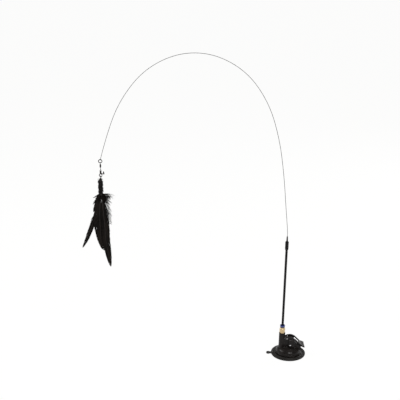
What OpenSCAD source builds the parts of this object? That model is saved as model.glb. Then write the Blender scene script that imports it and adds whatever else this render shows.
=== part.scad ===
// Cat teaser wand on a lever-lock suction base, with a feather lure on a spring wire.
// The origin is the middle of the cup's face, +Z is up, and the lure hangs towards -X.

/* [Suction cup] */
// Diameter of the rubber cup
cup_d = 66; // [60:1:76]
// Thickness of the cup at its edge
cup_edge_h = 2.4; // [1.4:0.1:2.6]
// Height of the ring that the housing sits on
cup_seat_h = 3; // [2.4:0.1:4]
// Thickness of the rubber in the middle
cup_skin_h = 2; // [1.5:0.1:2.6]
// Depth of the hollow that the stem draws up
hollow_h = 2.6; // [2.4:0.1:3.4]
// Width of the flat sealing band under the edge
seal_w = 10; // [6:0.5:12]
// Length of the pull tab beyond the edge
tab_len = 9.6; // [6:0.2:12]
// Width of the pull tab
tab_w = 5.8; // [4:0.2:7]
// Thickness of the pull tab
tab_h = 2.1; // [1.2:0.1:2.2]

/* [Housing] */
// Diameter of the housing's skirt
skirt_d = 50.8; // [46:0.2:54]
// Height of the skirt's upright wall
skirt_h = 3.4; // [2:0.2:5]
// Width of the ledge between the skirt and the dome
ledge_w = 1.6; // [1:0.1:3]
// Height of the housing's flat top
top_z = 15.2; // [14:0.2:17]
// Diameter of the housing's flat top
top_d = 27; // [24:0.5:30]
// Thickness of the housing over the stem's foot
roof_t = 3.4; // [2:0.2:4]
// Height of the tower that guides the stem
tower_h = 19.3; // [16:0.1:20]
// Width of the tower
tower_w = 10.8; // [10.4:0.1:11]
// How far the tower runs past the cup's middle
tower_reach = 8; // [7.6:0.1:8.4]
// How far the rest under the lever runs past the cup's middle
rest_reach = 24.2; // [20:0.2:24.4]
// Height of the rest where it leaves the tower
rest_z = 27.5; // [20:0.5:28]
// Height of the rest at its far end
rest_end_z = 17.6; // [15:0.2:18]
// Distance from the cup's middle to the wand socket
socket_x = 12.5; // [12:0.1:14]
// Diameter of the wand socket
socket_d = 12; // [11:0.1:12.2]
// Height of the wand socket's rim
socket_z = 44.5; // [42:0.5:48]
// Lean of the wand to the right
wand_lean = 1; // [0:0.1:2]

/* [Lever lock] */
// Diameter of the lever's pin
pin_d = 2.4; // [2.2:0.1:3]
// Distance of the pin to the right of the cup's middle
pin_x = 2.9; // [2.5:0.1:3]
// Distance from the pin to the housing's top, locked
lock_h = 5.6; // [5.2:0.1:6]
// How far the lever lowers the stem
stem_travel = 2.2; // [1.6:0.1:2.3]
// How far the lever turns
lever_turn = 55; // [50:1:58]
// Thickness of each lever arm
arm_t = 2.4; // [1.8:0.1:3]
// Height of the bar that each arm ends in
bar_t = 2.6; // [1.8:0.1:4]
// Outer radius of the lever's arch
arch_r = 16; // [15.4:0.1:16.4]
// Length of the finger pad
pad_len = 6; // [5:0.2:10]
// Width of the finger pad
pad_w = 20.6; // [18:0.2:24]
// Thickness of the finger pad
pad_h = 3.2; // [2.4:0.1:3.6]
// Length of the stem's head along the lever
head_len = 10; // [9:0.2:10.4]
// Width of the stem's head
head_w = 7; // [6.6:0.1:7.2]
// Diameter of the stem's foot
foot_d = 20; // [18:0.5:21]
// Thickness of the stem's foot
foot_h = 1.6; // [1.2:0.1:2]
// Wire of the release spring
coil_wire_d = 0.9; // [0.6:0.1:1]
// Turns of the release spring
coil_turns = 2; // [2:1:3]

/* [Push-in fitting] */
// Size of the brass body across its corners
hex_d = 10.8; // [10.2:0.1:11]
// Height of the brass hexagon
hex_h = 9.4; // [8.8:0.1:10]
// Diameter of the brass neck
neck_d = 8.8; // [8.6:0.1:8.9]
// Height of the whole brass body above the socket
brass_h = 12; // [11.6:0.1:13]
// Diameter of the brass shank in the socket
shank_d = 7.8; // [7.2:0.1:8.2]
// Length of the brass shank in the socket
shank_len = 12; // [10:0.5:14]
// Wall left under the wand's end
stop_t = 1; // [0.8:0.1:2]
// Diameter of the chamber for the seal and the collet
chamber_d = 7.7; // [7.5:0.1:7.9]
// Height of the chamber's floor above the socket
chamber_z = 2.4; // [2:0.1:2.8]
// Thickness of the lip at the chamber's mouth
lip_h = 1.4; // [1.2:0.1:1.6]
// Length of the gripping collet
collet_len = 3.6; // [3:0.1:3.8]
// Number of slits in the collet
collet_slits = 4; // [3:1:6]
// Diameter of the blue release ring
release_d = 9.6; // [8.4:0.1:9.8]
// Height of the release ring's flange
release_h = 2.8; // [2.2:0.1:3.2]
// How far the release ring is pressed
press_travel = 0.9; // [0.6:0.1:1]

/* [Wand] */
// Diameter of the rod
rod_d = 4.5; // [4.3:0.1:4.6]
// Length of the rod above the socket
rod_len = 186; // [150:1:240]
// Diameter of the collar on the rod's end
collar_d = 6.5; // [6:0.1:7.5]
// Length of the collar
collar_len = 16; // [12:0.5:20]
// Diameter of the boot where it leaves the collar
boot_d = 3.3; // [3:0.1:3.6]
// Diameter of the boot's tip
boot_tip_d = 2.4; // [2:0.1:2.6]
// Length of the boot beyond the collar
boot_len = 10; // [6:0.5:14]
// Diameter of the spring wire
wire_d = 0.85; // [0.7:0.05:1]
// Length of wire inside the rod
wire_hidden = 12; // [8:1:20]
// Length of wire beyond the boot
wire_len = 696; // [600:1:760]
// Radius of the eye at the wire's end
wire_eye_r = 1.9; // [1.8:0.05:2]

/* [Lure hardware] */
// Outer diameter of the ring
ring_d = 7.6; // [7.2:0.1:9]
// Thickness of the ring
ring_t = 1.4; // [1:0.05:1.4]
// Wire of the swivel's eyes
swivel_wire_d = 0.7; // [0.6:0.05:0.8]
// Radius of the swivel's upper eye
swivel_eye_r = 1.35; // [1.3:0.05:1.5]
// Radius of the swivel's lower eye
swivel_low_r = 1.7; // [1.6:0.05:1.9]
// Diameter of the swivel's barrel
barrel_d = 3; // [2.8:0.1:3.6]
// Length of the swivel's barrel
barrel_len = 6.5; // [5.5:0.5:12]
// Radius of the clasp's bow
bow_r = 2.65; // [2.6:0.05:3]
// Thickness of the clasp's bow
bow_t = 1.5; // [1.3:0.1:1.6]
// Radius of the clasp's top eye
clasp_eye_r = 1.6; // [1.5:0.05:1.8]
// Radius of the hole in the clasp's top eye
clasp_hole_r = 0.85; // [0.8:0.05:0.9]
// Height of the clasp's top eye above its bow
clasp_rise = 8.9; // [8:0.1:9.4]
// Thickness of the clasp's top
clasp_top_t = 1.3; // [1.2:0.1:1.5]
// Thickness of the clasp's cheeks across its gate
clasp_cheek_t = 2.2; // [2:0.1:2.4]
// Length of the clasp's thumb lever
thumb_len = 4.4; // [4:0.2:5]
// Height of the thumb lever's pad
thumb_pad_len = 5.4; // [4:0.2:5.6]
// Thickness of the thumb lever's pad
thumb_pad_t = 2; // [1.2:0.1:2.2]
// Width of the thumb lever's pad
thumb_pad_w = 2.4; // [1.6:0.1:3]

/* [Feather lure] */
// Thickness of the cord loop
loop_cord_d = 1.2; // [1:0.1:1.4]
// Radius of the cord loop
loop_r = 1.65; // [1.6:0.05:1.9]
// Diameter of the bundle of quills under the binding
core_d = 6.4; // [5:0.1:7.5]
// How far the bundle hangs to the left of its loop
core_shift = 1; // [0:0.1:1.4]
// Length of the bundle of quills
core_len = 32; // [28:0.5:40]
// Thickness of the binding thread
thread_d = 1.25; // [1:0.05:1.3]
// Turns of the binding thread
thread_turns = 16; // [10:1:18]
// Distance between turns of the binding thread
thread_pitch = 1.8; // [1.8:0.05:1.9]
// Thickness of a feather's shaft at its root
quill_d = 0.8; // [0.7:0.05:0.85]
// Thickness of a feather's vane
vane_t = 0.4; // [0.3:0.05:0.5]
// Length of the long feather
long_len = 140; // [110:1:160]
// Width of the long feather
long_w = 17; // [10:0.5:20]
// Length of the broad feather
broad_len = 109; // [90:1:130]
// Width of the broad feather
broad_w = 22; // [12:0.5:23]
// Length of the slim feather
slim_len = 112; // [90:1:130]
// Width of the slim feather
slim_w = 10; // [6:0.5:12]
// Length of the side feather
side_len = 36; // [28:1:50]
// Width of the side feather
side_w = 8; // [6:0.5:12]
// Length of the back feather
back_len = 92; // [70:1:110]
// Width of the back feather
back_w = 13; // [8:0.5:16]
// Length of the curled plume
plume_len = 24; // [20:1:36]
// Width of the curled plume
plume_w = 12; // [6:0.5:14]

/* [Hidden] */

$fn = 64;
// Sides of a swept wire or cord
wire_sides = 8;
// Overrun of every cut
cut = 1;
// Running gap between a moving piece and what guides it
gap = 0.3;
// Gap of a close fit
fit = 0.05;

black = [0.07, 0.07, 0.075];
brass = [0.80, 0.66, 0.38];
blue = [0.10, 0.22, 0.62];
steel = [0.72, 0.72, 0.74];

// Suction cup and housing
cup_r = cup_d / 2;
cup_bevel = 0.5;
seal_r = cup_r - seal_w;
skirt_r = skirt_d / 2;
seat_r = skirt_r + cut;
lip_r = seat_r + cut;
foot_r = foot_d / 2;
cup_top_z = hollow_h + cup_skin_h;
cup_flat_r = foot_r + cut;
seat_in_w = 9;
seat_in_r = foot_r + seat_in_w;
tab_z = gap;
tab_end_share = 0.7;
dome_r = skirt_r - ledge_w;
skirt_top_z = cup_seat_h + skirt_h;
top_r = top_d / 2;
roof_z = top_z - roof_t;
tower_z = top_z + tower_h;
tower_round = 3;
tower_chamfer = 0.8;
well_r = foot_r + cut;
dome_step = 10;

// Lever lock, measured from the pin
cam_gap = 0.15;
pin_z = top_z + cam_gap + lock_h;
pin_r = pin_d / 2;
pin_head_t = 0.3;
pin_head_r = pin_r + pin_head_t;
pin_bore_r = pin_r + fit;
slot_r = pin_r + gap;
arm_y = max(tower_w, socket_d) / 2 + gap;
arm_out_y = arm_y + arm_t;
cheek_t = 0.6;
cheek_out_y = arm_out_y + cheek_t;
cheek_back = 3.4;
cheek_front = 8.6;
arch_t = 2.2;
arch_left_a = 130;
arch_right_a = 45;
bar_len = 14;
cam_slope = stem_travel / (lever_turn * PI / 180);
pad_drop_share = 0.4;
head_back_share = 0.65;
head_x = pin_x - head_back_share * head_len;
head_over = 2;
head_z = pin_z + pin_r + head_over;
foot_z = cup_top_z + 2 * fit;
foot_top_z = foot_z + foot_h;
coil_wire_r = coil_wire_d / 2;
coil_r = norm([head_len + head_x, head_w / 2]) + gap + coil_wire_r;

// Push-in fitting, in heights above the socket's rim along the wand
hex_r = hex_d / 2;
neck_r = neck_d / 2;
shank_r = shank_d / 2;
chamber_r = chamber_d / 2;
chamber_top_z = brass_h - lip_h;
rod_r = rod_d / 2;
rod_bore_r = rod_r + 2 * fit;
rod_end_z = stop_t + fit - shank_len;
seal_in_r = rod_r + fit;
seal_t = chamber_r - fit - seal_in_r;
collet_z = chamber_z + seal_t + 2 * fit;
collet_top_z = collet_z + collet_len;
slit_w = 0.5;
slit_share = 0.65;
sleeve_in_r = rod_r + gap;
sleeve_t = 0.55;
sleeve_r = sleeve_in_r + sleeve_t;
mouth_r = sleeve_r + gap;
sleeve_z = collet_top_z + press_travel + 2 * fit;
release_r = release_d / 2;
release_z = brass_h + press_travel + gap;
release_top_z = release_z + release_h;
funnel_share = 0.5;

// Wand, in heights above the socket's rim along the wand
collar_r = collar_d / 2;
collar_lip = 2.4;
collar_top_z = rod_len + collar_lip;
collar_z = collar_top_z - collar_len;
boot_r = boot_d / 2;
boot_tip_r = boot_tip_d / 2;
boot_top_z = collar_top_z + boot_len;
wire_r = wire_d / 2;
wire_bore_r = wire_r + fit;
wire_end_z = rod_len - wire_hidden + gap;
// Each row is a share of the wire's length and how far it bends over towards the lure
wire_arc_shares = [
    [0.03, 6.7], [0.09, -0.7], [0.1, 3.5], [0.1, 9], [0.1, 18.7],
    [0.12, 33], [0.12, 38], [0.12, 32.1], [0.12, 20.4], [0.1, 4.9]
];
bend_step = 3;
wire_step = 30;
feather_bend_step = 8;
feather_step = 7;
eye_from = 130;
eye_to = 400;
eye_step = 18;
eye_neck_share = 0.25;

function unit(v) = v / norm(v);
function along(heading) = [-sin(heading), 0, cos(heading)];
function on_axis(z) = [-socket_x, 0, socket_z] + z * [sin(wand_lean), 0, cos(wand_lean)];

// Small steps that a row of [share, bend] arcs is walked in
function arc_steps(arcs, length, bend, reach) = [
    for (arc = arcs) let (n = ceil(max(abs(arc[1]) / bend, arc[0] * length / reach)))
        for (i = [1:n]) [arc[0] * length / n, arc[1] / n]
];
function walk(steps, at, heading) = [
    for (i = 0, p = at, h = heading; i <= len(steps);
        p = i < len(steps) ? p + steps[i][0] * along(h + steps[i][1] / 2) : p,
        h = i < len(steps) ? h + steps[i][1] : h,
        i = i + 1) p
];
function total_bend(arcs) = [for (arc = arcs) arc[1]] * [for (arc = arcs) 1];

wire_free = walk(
    arc_steps(wire_arc_shares, wire_len, bend_step, wire_step), on_axis(boot_top_z), -wand_lean);
wire_heading = total_bend(wire_arc_shares) - wand_lean;
wire_down = along(wire_heading);
wire_tip = wire_free[len(wire_free) - 1];
eye_c = wire_tip + (1 + eye_neck_share) * wire_eye_r * wire_down;
eye_low = eye_c + wire_eye_r * wire_down;

// Lure hardware, each hanging on the one above
ring_r = (ring_d - ring_t) / 2;
ring_c = eye_low + [0, 0, wire_r + fit + ring_t / 2 - ring_r];
lure_x = ring_c[0];
swivel_r = swivel_wire_d / 2;
ring_low_z = ring_c[2] - ring_r;
top_eye_z = ring_low_z + ring_t / 2 + fit + swivel_r - swivel_eye_r;
swivel_neck = 0.5;
barrel_top_z = top_eye_z - swivel_eye_r - swivel_r - swivel_neck;
barrel_z = barrel_top_z - barrel_len;
barrel_r = barrel_d / 2;
barrel_wall = 0.5;
barrel_taper = 1.2;
barrel_end_share = 0.7;
barrel_hole_r = swivel_r + 2 * fit;
knob_r = barrel_r - barrel_wall - 2 * fit;
knob_h = 0.8;
knob_top_z = barrel_top_z - barrel_taper - fit;
knob_low_z = barrel_z + barrel_taper + fit;
low_neck = 1.2;
low_eye_z = barrel_z - low_neck - swivel_r - swivel_low_r;
clasp_eye_z = low_eye_z - swivel_low_r + swivel_r + fit - clasp_hole_r;
bow_z = clasp_eye_z - clasp_rise;
bow_tip_a = -27;
bow_top_a = 75;
pivot_a = 60;
pivot_x = lure_x + bow_r * cos(pivot_a);
pivot_z = bow_z + bow_r * sin(pivot_a);
boss_r = 1.5;
gate_t = 1;
gate_tip_a = -9;
gate_slot = gate_t + 4 * fit;
gate_boss_r = boss_r - gap;
rivet_r = 0.4;
neck_w = 3;
thumb_t = 1.3;
thumb_tilt = 8;
thumb_low_share = 0.25;
leaf_r = 0.3;
leaf_wire_r = 0.1;
leaf_turns = 3;
leaf_x = lure_x - neck_w / 2 + fit;
leaf_len = pivot_x - gate_boss_r - fit - leaf_x;

// Feather lure
loop_cord_r = loop_cord_d / 2;
loop_top_z = bow_z - bow_r + bow_t / 2 + loop_cord_r + fit;
loop_leg = 2.4;
core_top_z = loop_top_z - loop_r - loop_leg;
core_z = core_top_z - core_len;
core_r = core_d / 2;
core_x = lure_x - core_shift;
thread_r = thread_d / 2;
thread_path_r = core_r + thread_r + fit;
thread_rings = 24;
thread_sides = 6;
thread_z = core_z + (core_len - thread_turns * thread_pitch) / 2;
quill_r = quill_d / 2;
vane_rise_share = 0.35;
slim_rise_share = 0.16;
long_rise_share = 0.5;
rib_taper_share = 0.75;
rib_least_share = 1.2;

// Rings of points joined into one closed skin, with every face a triangle
module skin(rings) {
    sides = len(rings[0]);
    last = len(rings) - 1;
    walls = [
        for (i = [0:last - 1], k = [0:sides - 1])
            let (a = i * sides + k, b = i * sides + (k + 1) % sides)
                each [[a, a + sides, b], [b, a + sides, b + sides]]
    ];
    near_cap = [for (k = [1:sides - 2]) [0, k, k + 1]];
    far_cap = [for (k = [1:sides - 2]) [last * sides, last * sides + k + 1, last * sides + k]];
    polyhedron([for (ring = rings) each ring], concat(walls, near_cap, far_cap));
}

function tangents(path) = [
    for (i = [0:len(path) - 1]) unit(path[min(i + 1, len(path) - 1)] - path[max(i - 1, 0)])
];
function square_to(v, t) = unit(v - (v * t) * t);
function normals(tangent, first) = [
    for (i = 0, n = square_to(first, tangent[0]); i < len(tangent);
        i = i + 1, n = i < len(tangent) ? square_to(n, tangent[i]) : n) n
];

// A tube of one radius swept along a path of points
module tube(path, radius, sides, first = [0, 1, 0]) {
    t = tangents(path);
    n = normals(t, first);
    skin([for (i = [0:len(path) - 1])
        [for (k = [0:sides - 1]) path[i]
            + radius * (cos(360 * k / sides) * n[i] - sin(360 * k / sides) * cross(t[i], n[i]))]]);
}

function helix(radius, pitch, turns, rings, at) = [
    for (i = [0:turns * rings])
        at + [radius * cos(360 * i / rings), radius * sin(360 * i / rings), pitch * i / rings]
];

// A winding's path with both ends run straight for one thickness
function with_ends(path, thickness) = let (last = len(path) - 1) concat(
    [path[0] + thickness * unit(path[0] - path[1])], path,
    [path[last] + thickness * unit(path[last] - path[last - 1])]
);

module on_wand() {
    translate([-socket_x, 0, socket_z]) rotate([0, wand_lean, 0]) children();
}

// An outline in X and Z, given thickness along Y
module upright(thickness) {
    rotate([90, 0, 0]) linear_extrude(thickness, center = true) children();
}

module suction_cup() {
    color(black) {
        rotate_extrude($fn = 128) polygon([
            [0, hollow_h], [cup_flat_r, hollow_h], [seal_r, 0], [cup_r, 0],
            [cup_r, cup_edge_h - cup_bevel], [cup_r - cup_bevel, cup_edge_h],
            [lip_r, (cup_seat_h + cup_edge_h) / 2], [seat_r, cup_seat_h],
            [seat_in_r - cut, cup_seat_h], [cup_flat_r, cup_top_z], [0, cup_top_z]
        ]);
        translate([0, 0, tab_z]) linear_extrude(tab_h) {
            translate([-cup_r - tab_len + tab_w * tab_end_share, -tab_w / 2])
                square([tab_len - tab_w * tab_end_share + 2 * cut, tab_w]);
            translate([-cup_r - tab_len + tab_w * tab_end_share, 0]) circle(tab_w * tab_end_share);
        }
    }
}

module stem_slot() {
    translate([head_x - gap, -head_w / 2 - gap, roof_z - cut])
        cube([head_len + 2 * gap, head_w + 2 * gap, head_z + gap - roof_z + cut]);
}

module pin_slots() {
    translate([pin_x, 0, pin_z]) rotate([90, 0, 0])
        cylinder(h = tower_w + 2 * cut, r = slot_r, center = true);
    translate([pin_x, 0, pin_z - stem_travel]) rotate([90, 0, 0])
        cylinder(h = tower_w + 2 * cut, r = slot_r, center = true);
    translate([pin_x - slot_r, -tower_w / 2 - cut, pin_z - stem_travel])
        cube([2 * slot_r, tower_w + 2 * cut, stem_travel]);
}

// The tower's outline seen from the front, with its long top edges chamfered
module tower() {
    half_w = tower_w / 2;
    intersection() {
        upright(tower_w) polygon(concat(
            [[-socket_x, top_z - cut], [tower_reach, top_z - cut]],
            [for (a = [0:dome_step:90]) [
                tower_reach - tower_round * (1 - cos(a)),
                tower_z - tower_round * (1 - sin(a))
            ]],
            [[-socket_x, tower_z]]
        ));
        translate([-socket_x - cut, 0, 0]) rotate([90, 0, 90])
            linear_extrude(socket_x + tower_reach + 2 * cut) polygon([
                [-half_w - cut, 0], [half_w + cut, 0],
                [half_w + cut, tower_z - tower_chamfer - cut], [half_w - tower_chamfer, tower_z],
                [tower_chamfer - half_w, tower_z], [-half_w - cut, tower_z - tower_chamfer - cut]
            ]);
    }
}

// A block on the dome under the lever's arms and finger pad
module lever_rest() {
    root_z = cup_seat_h + skirt_h / 2;
    upright(tower_w) polygon([
        [tower_reach - tower_round, root_z], [rest_reach, root_z], [rest_reach, rest_end_z],
        [tower_reach, rest_z], [tower_reach - tower_round, rest_z]
    ]);
}

module base_housing() {
    color(black) difference() {
        union() {
            rotate_extrude($fn = 128) polygon(concat(
                [[0, cup_seat_h], [skirt_r, cup_seat_h], [skirt_r, skirt_top_z]],
                [for (a = [0:dome_step:90]) [
                    top_r + (dome_r - top_r) * cos(a),
                    skirt_top_z + (top_z - skirt_top_z) * sin(a)
                ]],
                [[0, top_z]]
            ));
            tower();
            lever_rest();
            on_wand() translate([0, 0, top_z - socket_z - cut])
                cylinder(h = socket_z - top_z + cut, d = socket_d);
        }
        rotate_extrude($fn = 128) polygon([
            [0, cup_seat_h - cut], [seat_in_r, cup_seat_h - cut], [seat_in_r, cup_seat_h + gap],
            [well_r + cut, cup_top_z + gap], [well_r, cup_top_z + cut], [well_r, roof_z], [0, roof_z]
        ]);
        stem_slot();
        pin_slots();
        on_wand() translate([0, 0, -shank_len - fit])
            cylinder(h = shank_len + fit + cut, r = shank_r + fit);
    }
}

module cup_stem() {
    color(steel) difference() {
        union() {
            translate([0, 0, foot_z]) cylinder(h = foot_h, r = foot_r);
            translate([head_x, -head_w / 2, foot_z + foot_h / 2])
                cube([head_len, head_w, head_z - foot_z - foot_h / 2]);
        }
        translate([pin_x, 0, pin_z]) rotate([90, 0, 0])
            cylinder(h = head_w + 2 * cut, r = pin_r + fit / 2, center = true);
    }
}

module release_spring() {
    pitch = (roof_z - foot_top_z - 2 * coil_wire_r - 2 * fit) / coil_turns;
    path = helix(coil_r, pitch, coil_turns, thread_rings, [0, 0, foot_top_z + coil_wire_r + fit]);
    color(steel) tube(with_ends(path, coil_wire_d), coil_wire_r, thread_sides, [0, 0, 1]);
}

function polar(r, a) = [r * cos(a), r * sin(a)];

// The cam keeps the pin at a height that falls evenly as the lever is lifted
function cam_point(lift) = let (a = -90 - lift, h = lock_h - stem_travel * lift / lever_turn)
    polar(h, a) + polar(cam_slope, a + 90);

inner_r = arch_r - arch_t;
// The thumb plate joins the arms where it swings past the tower's corner with the stem let down
corner_r = norm([tower_reach - pin_x - tower_round, tower_z - pin_z + stem_travel]);
bridge_start = sqrt(max(0, pow(corner_r + 2 * gap, 2) - pow(inner_r, 2)));
bar_start = polar(arch_r, arch_right_a);
bar_dir = [sin(arch_right_a), -cos(arch_right_a)];
bar_end = bar_start + bar_len * bar_dir;
bridge_top = bar_start + bridge_start * bar_dir;
pad_end = bar_end + [pad_len, -pad_len * pad_drop_share];
pad_under = [0, -pad_h];

module arm_outline() {
    bar_low = bar_end - bar_t * polar(1, arch_right_a);
    cheek_meet = (arch_r - bar_t - cheek_front * cos(arch_right_a)) / sin(arch_right_a);
    polygon(concat(
        [[cheek_front, -lock_h], [cheek_front, cheek_meet], bar_low, bar_end + pad_under, bar_end],
        [for (a = [arch_right_a:5:arch_left_a]) polar(arch_r, a)],
        [polar(inner_r, arch_left_a), polar(inner_r, acos(-cheek_back / inner_r)), [-cheek_back, 0]],
        [for (lift = [lever_turn:-lever_turn / 8:0]) cam_point(lift)]
    ));
}

module cheek_outline() {
    cheek_top = sqrt(pow(inner_r, 2) - pow(cheek_front, 2));
    polygon(concat(
        [[cheek_front, -lock_h], [cheek_front, cheek_top], [-cheek_back, cheek_top], [-cheek_back, 0]],
        [for (lift = [lever_turn:-lever_turn / 8:0]) cam_point(lift)]
    ));
}

module thumb_outline() {
    inward = arch_t * polar(1, arch_right_a);
    polygon([
        bridge_top, bridge_top - inward, bar_end - inward, bar_end + pad_under,
        pad_end + pad_under, pad_end, bar_end
    ]);
}

module pad_outline() {
    polygon([
        bar_end, bar_end + pad_under, pad_end + pad_under,
        pad_end + pad_under / 2 + [pad_h / 4, 0], pad_end
    ]);
}

module lever() {
    color(black) translate([pin_x, 0, pin_z]) difference() {
        union() {
            for (side = [-1, 1]) {
                translate([0, side * (arm_y + arm_t / 2), 0]) upright(arm_t) arm_outline();
                translate([0, side * (arm_out_y + cheek_t / 2 - fit), 0])
                    upright(cheek_t + 2 * fit) cheek_outline();
            }
            upright(2 * arm_out_y - arm_t) thumb_outline();
            upright(pad_w) pad_outline();
        }
        rotate([90, 0, 0]) cylinder(h = 2 * cheek_out_y + 2 * cut, r = pin_bore_r, center = true);
    }
}

module lever_pin() {
    reach = cheek_out_y + 2 * fit;
    color(steel) translate([pin_x, 0, pin_z]) rotate([90, 0, 0]) {
        cylinder(h = 2 * reach + pin_head_t, r = pin_r, center = true);
        for (side = [-1, 1])
            translate([0, 0, side * (reach + pin_head_t / 2)])
                cylinder(h = pin_head_t, r = pin_head_r, center = true);
    }
}

module fitting_body() {
    color(brass) on_wand() difference() {
        union() {
            translate([0, 0, -shank_len]) cylinder(h = shank_len + cut, r = shank_r);
            intersection() {
                cylinder(h = hex_h, r = hex_r, $fn = 6);
                cylinder(h = hex_h, r1 = hex_r + hex_h, r2 = neck_r + 2 * fit);
            }
            translate([0, 0, hex_h - cut]) cylinder(h = brass_h - hex_h + cut, r = neck_r);
        }
        translate([0, 0, stop_t - shank_len]) cylinder(h = shank_len + brass_h, r = rod_bore_r);
        translate([0, 0, chamber_z]) cylinder(h = chamber_top_z - chamber_z, r = chamber_r);
        translate([0, 0, chamber_top_z - cut]) cylinder(h = lip_h + 2 * cut, r = mouth_r);
    }
}

module fitting_seal() {
    color(black) on_wand() translate([0, 0, chamber_z + fit + seal_t / 2])
        rotate_extrude() translate([seal_in_r + seal_t / 2, 0]) circle(seal_t / 2);
}

module fitting_collet() {
    color(steel) on_wand() difference() {
        translate([0, 0, collet_z]) cylinder(h = collet_len, r = chamber_r - gap);
        translate([0, 0, collet_z - cut]) cylinder(h = collet_len + 2 * cut, r = rod_bore_r);
        for (i = [0:collet_slits - 1])
            rotate([0, 0, 360 * i / collet_slits])
                translate([0, -slit_w / 2, collet_top_z - collet_len * slit_share])
                    cube([chamber_r, slit_w, collet_len]);
    }
}

module release_ring() {
    color(blue) on_wand() difference() {
        union() {
            translate([0, 0, sleeve_z]) cylinder(h = release_z - sleeve_z + cut, r = sleeve_r);
            translate([0, 0, sleeve_z])
                cylinder(h = chamber_top_z - gap - sleeve_z, r = chamber_r - gap);
            translate([0, 0, release_z]) cylinder(h = release_h, r = release_r);
        }
        translate([0, 0, sleeve_z - cut]) cylinder(h = release_top_z - sleeve_z + 2 * cut, r = sleeve_in_r);
        translate([0, 0, release_top_z - release_h * funnel_share])
            cylinder(h = release_h * funnel_share + fit, r1 = sleeve_in_r, r2 = (sleeve_in_r + release_r) / 2);
    }
}

module rod() {
    color(black) on_wand() difference() {
        translate([0, 0, rod_end_z]) cylinder(h = rod_len - rod_end_z, r = rod_r);
        translate([0, 0, rod_len - wire_hidden]) cylinder(h = wire_hidden + cut, r = wire_bore_r);
    }
}

module rod_collar() {
    color(black) on_wand() difference() {
        translate([0, 0, collar_z]) cylinder(h = collar_len, r = collar_r);
        translate([0, 0, collar_z - cut]) cylinder(h = collar_len - collar_lip + cut + fit, r = rod_r + fit);
        translate([0, 0, rod_len - cut]) cylinder(h = collar_lip + 2 * cut, r = boot_r + fit);
    }
}

module tip_boot() {
    color(black) on_wand() difference() {
        union() {
            translate([0, 0, rod_len + fit]) cylinder(h = collar_lip - fit, r = boot_r);
            translate([0, 0, collar_top_z]) cylinder(h = boot_len, r1 = boot_r, r2 = boot_tip_r);
        }
        translate([0, 0, rod_len]) cylinder(h = boot_top_z - rod_len + cut, r = wire_bore_r);
    }
}

module wire() {
    eye = [for (a = [eye_from:eye_step:eye_to])
        eye_c + wire_eye_r * (cos(a) * [0, 1, 0] - sin(a) * wire_down)];
    color(steel) tube(concat([on_axis(wire_end_z)], wire_free, eye), wire_r, wire_sides);
}

module split_ring() {
    color(steel) translate(ring_c) rotate([90, 0, 0])
        rotate_extrude() translate([ring_r, 0]) circle(ring_t / 2);
}

// An eye across the lure's plane, with a shank and a knob inside the barrel
module swivel_eye(z, radius, shank_z, shank_h, knob_z) {
    translate([lure_x, 0, z]) rotate([0, 90, 0])
        rotate_extrude() translate([radius, 0]) circle(swivel_r);
    translate([lure_x, 0, shank_z]) cylinder(h = shank_h, r = swivel_r);
    translate([lure_x, 0, knob_z]) cylinder(h = knob_h, r = knob_r);
}

module swivel_top_eye() {
    eye_foot_z = top_eye_z - swivel_eye_r;
    color(steel) swivel_eye(top_eye_z, swivel_eye_r, knob_top_z - knob_h / 2,
        eye_foot_z - knob_top_z + knob_h / 2, knob_top_z - knob_h);
}

module swivel_bottom_eye() {
    eye_head_z = low_eye_z + swivel_low_r;
    color(steel) swivel_eye(low_eye_z, swivel_low_r, eye_head_z,
        knob_low_z + knob_h / 2 - eye_head_z, knob_low_z);
}

module swivel_barrel() {
    bore_r = barrel_r - barrel_wall;
    color(steel) translate([lure_x, 0, barrel_z]) rotate_extrude() polygon([
        [barrel_hole_r, 0], [barrel_r * barrel_end_share, 0], [barrel_r, barrel_taper],
        [barrel_r, barrel_len - barrel_taper], [barrel_r * barrel_end_share, barrel_len],
        [barrel_hole_r, barrel_len], [barrel_hole_r, barrel_len - barrel_taper],
        [bore_r, barrel_len - barrel_taper], [bore_r, barrel_taper], [barrel_hole_r, barrel_taper]
    ]);
}

// A round bar bent in X and Z about the clasp's middle, from one angle to another
module bent_bar(from, to, radius) {
    translate([lure_x, 0, bow_z]) rotate([90, 0, 0]) rotate([0, 0, from])
        rotate_extrude(angle = to - from) translate([bow_r, 0]) circle(radius);
}

module clasp_body() {
    color(steel) difference() {
        union() {
            bent_bar(bow_top_a, 360 + bow_tip_a, bow_t / 2);
            translate([pivot_x, 0, pivot_z]) rotate([90, 0, 0])
                cylinder(h = clasp_cheek_t, r = boss_r, center = true);
            translate([lure_x, 0, 0]) upright(clasp_cheek_t) translate([-neck_w / 2, pivot_z])
                square([neck_w, clasp_eye_z - clasp_eye_r - pivot_z + cut / 2]);
            translate([lure_x, 0, clasp_eye_z]) rotate([90, 0, 0])
                cylinder(h = clasp_top_t, r = clasp_eye_r, center = true);
        }
        translate([lure_x, 0, clasp_eye_z]) rotate([90, 0, 0])
            cylinder(h = clasp_cheek_t + 2 * cut, r = clasp_hole_r, center = true);
        translate([pivot_x, 0, pivot_z]) rotate([90, 0, 0])
            cylinder(h = clasp_cheek_t + 2 * cut, r = rivet_r + fit / 2, center = true);
        translate([leaf_x, -gate_slot / 2, pivot_z - boss_r - cut])
            cube([2 * boss_r + neck_w, gate_slot, 2 * boss_r + cut + fit]);
    }
}

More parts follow.
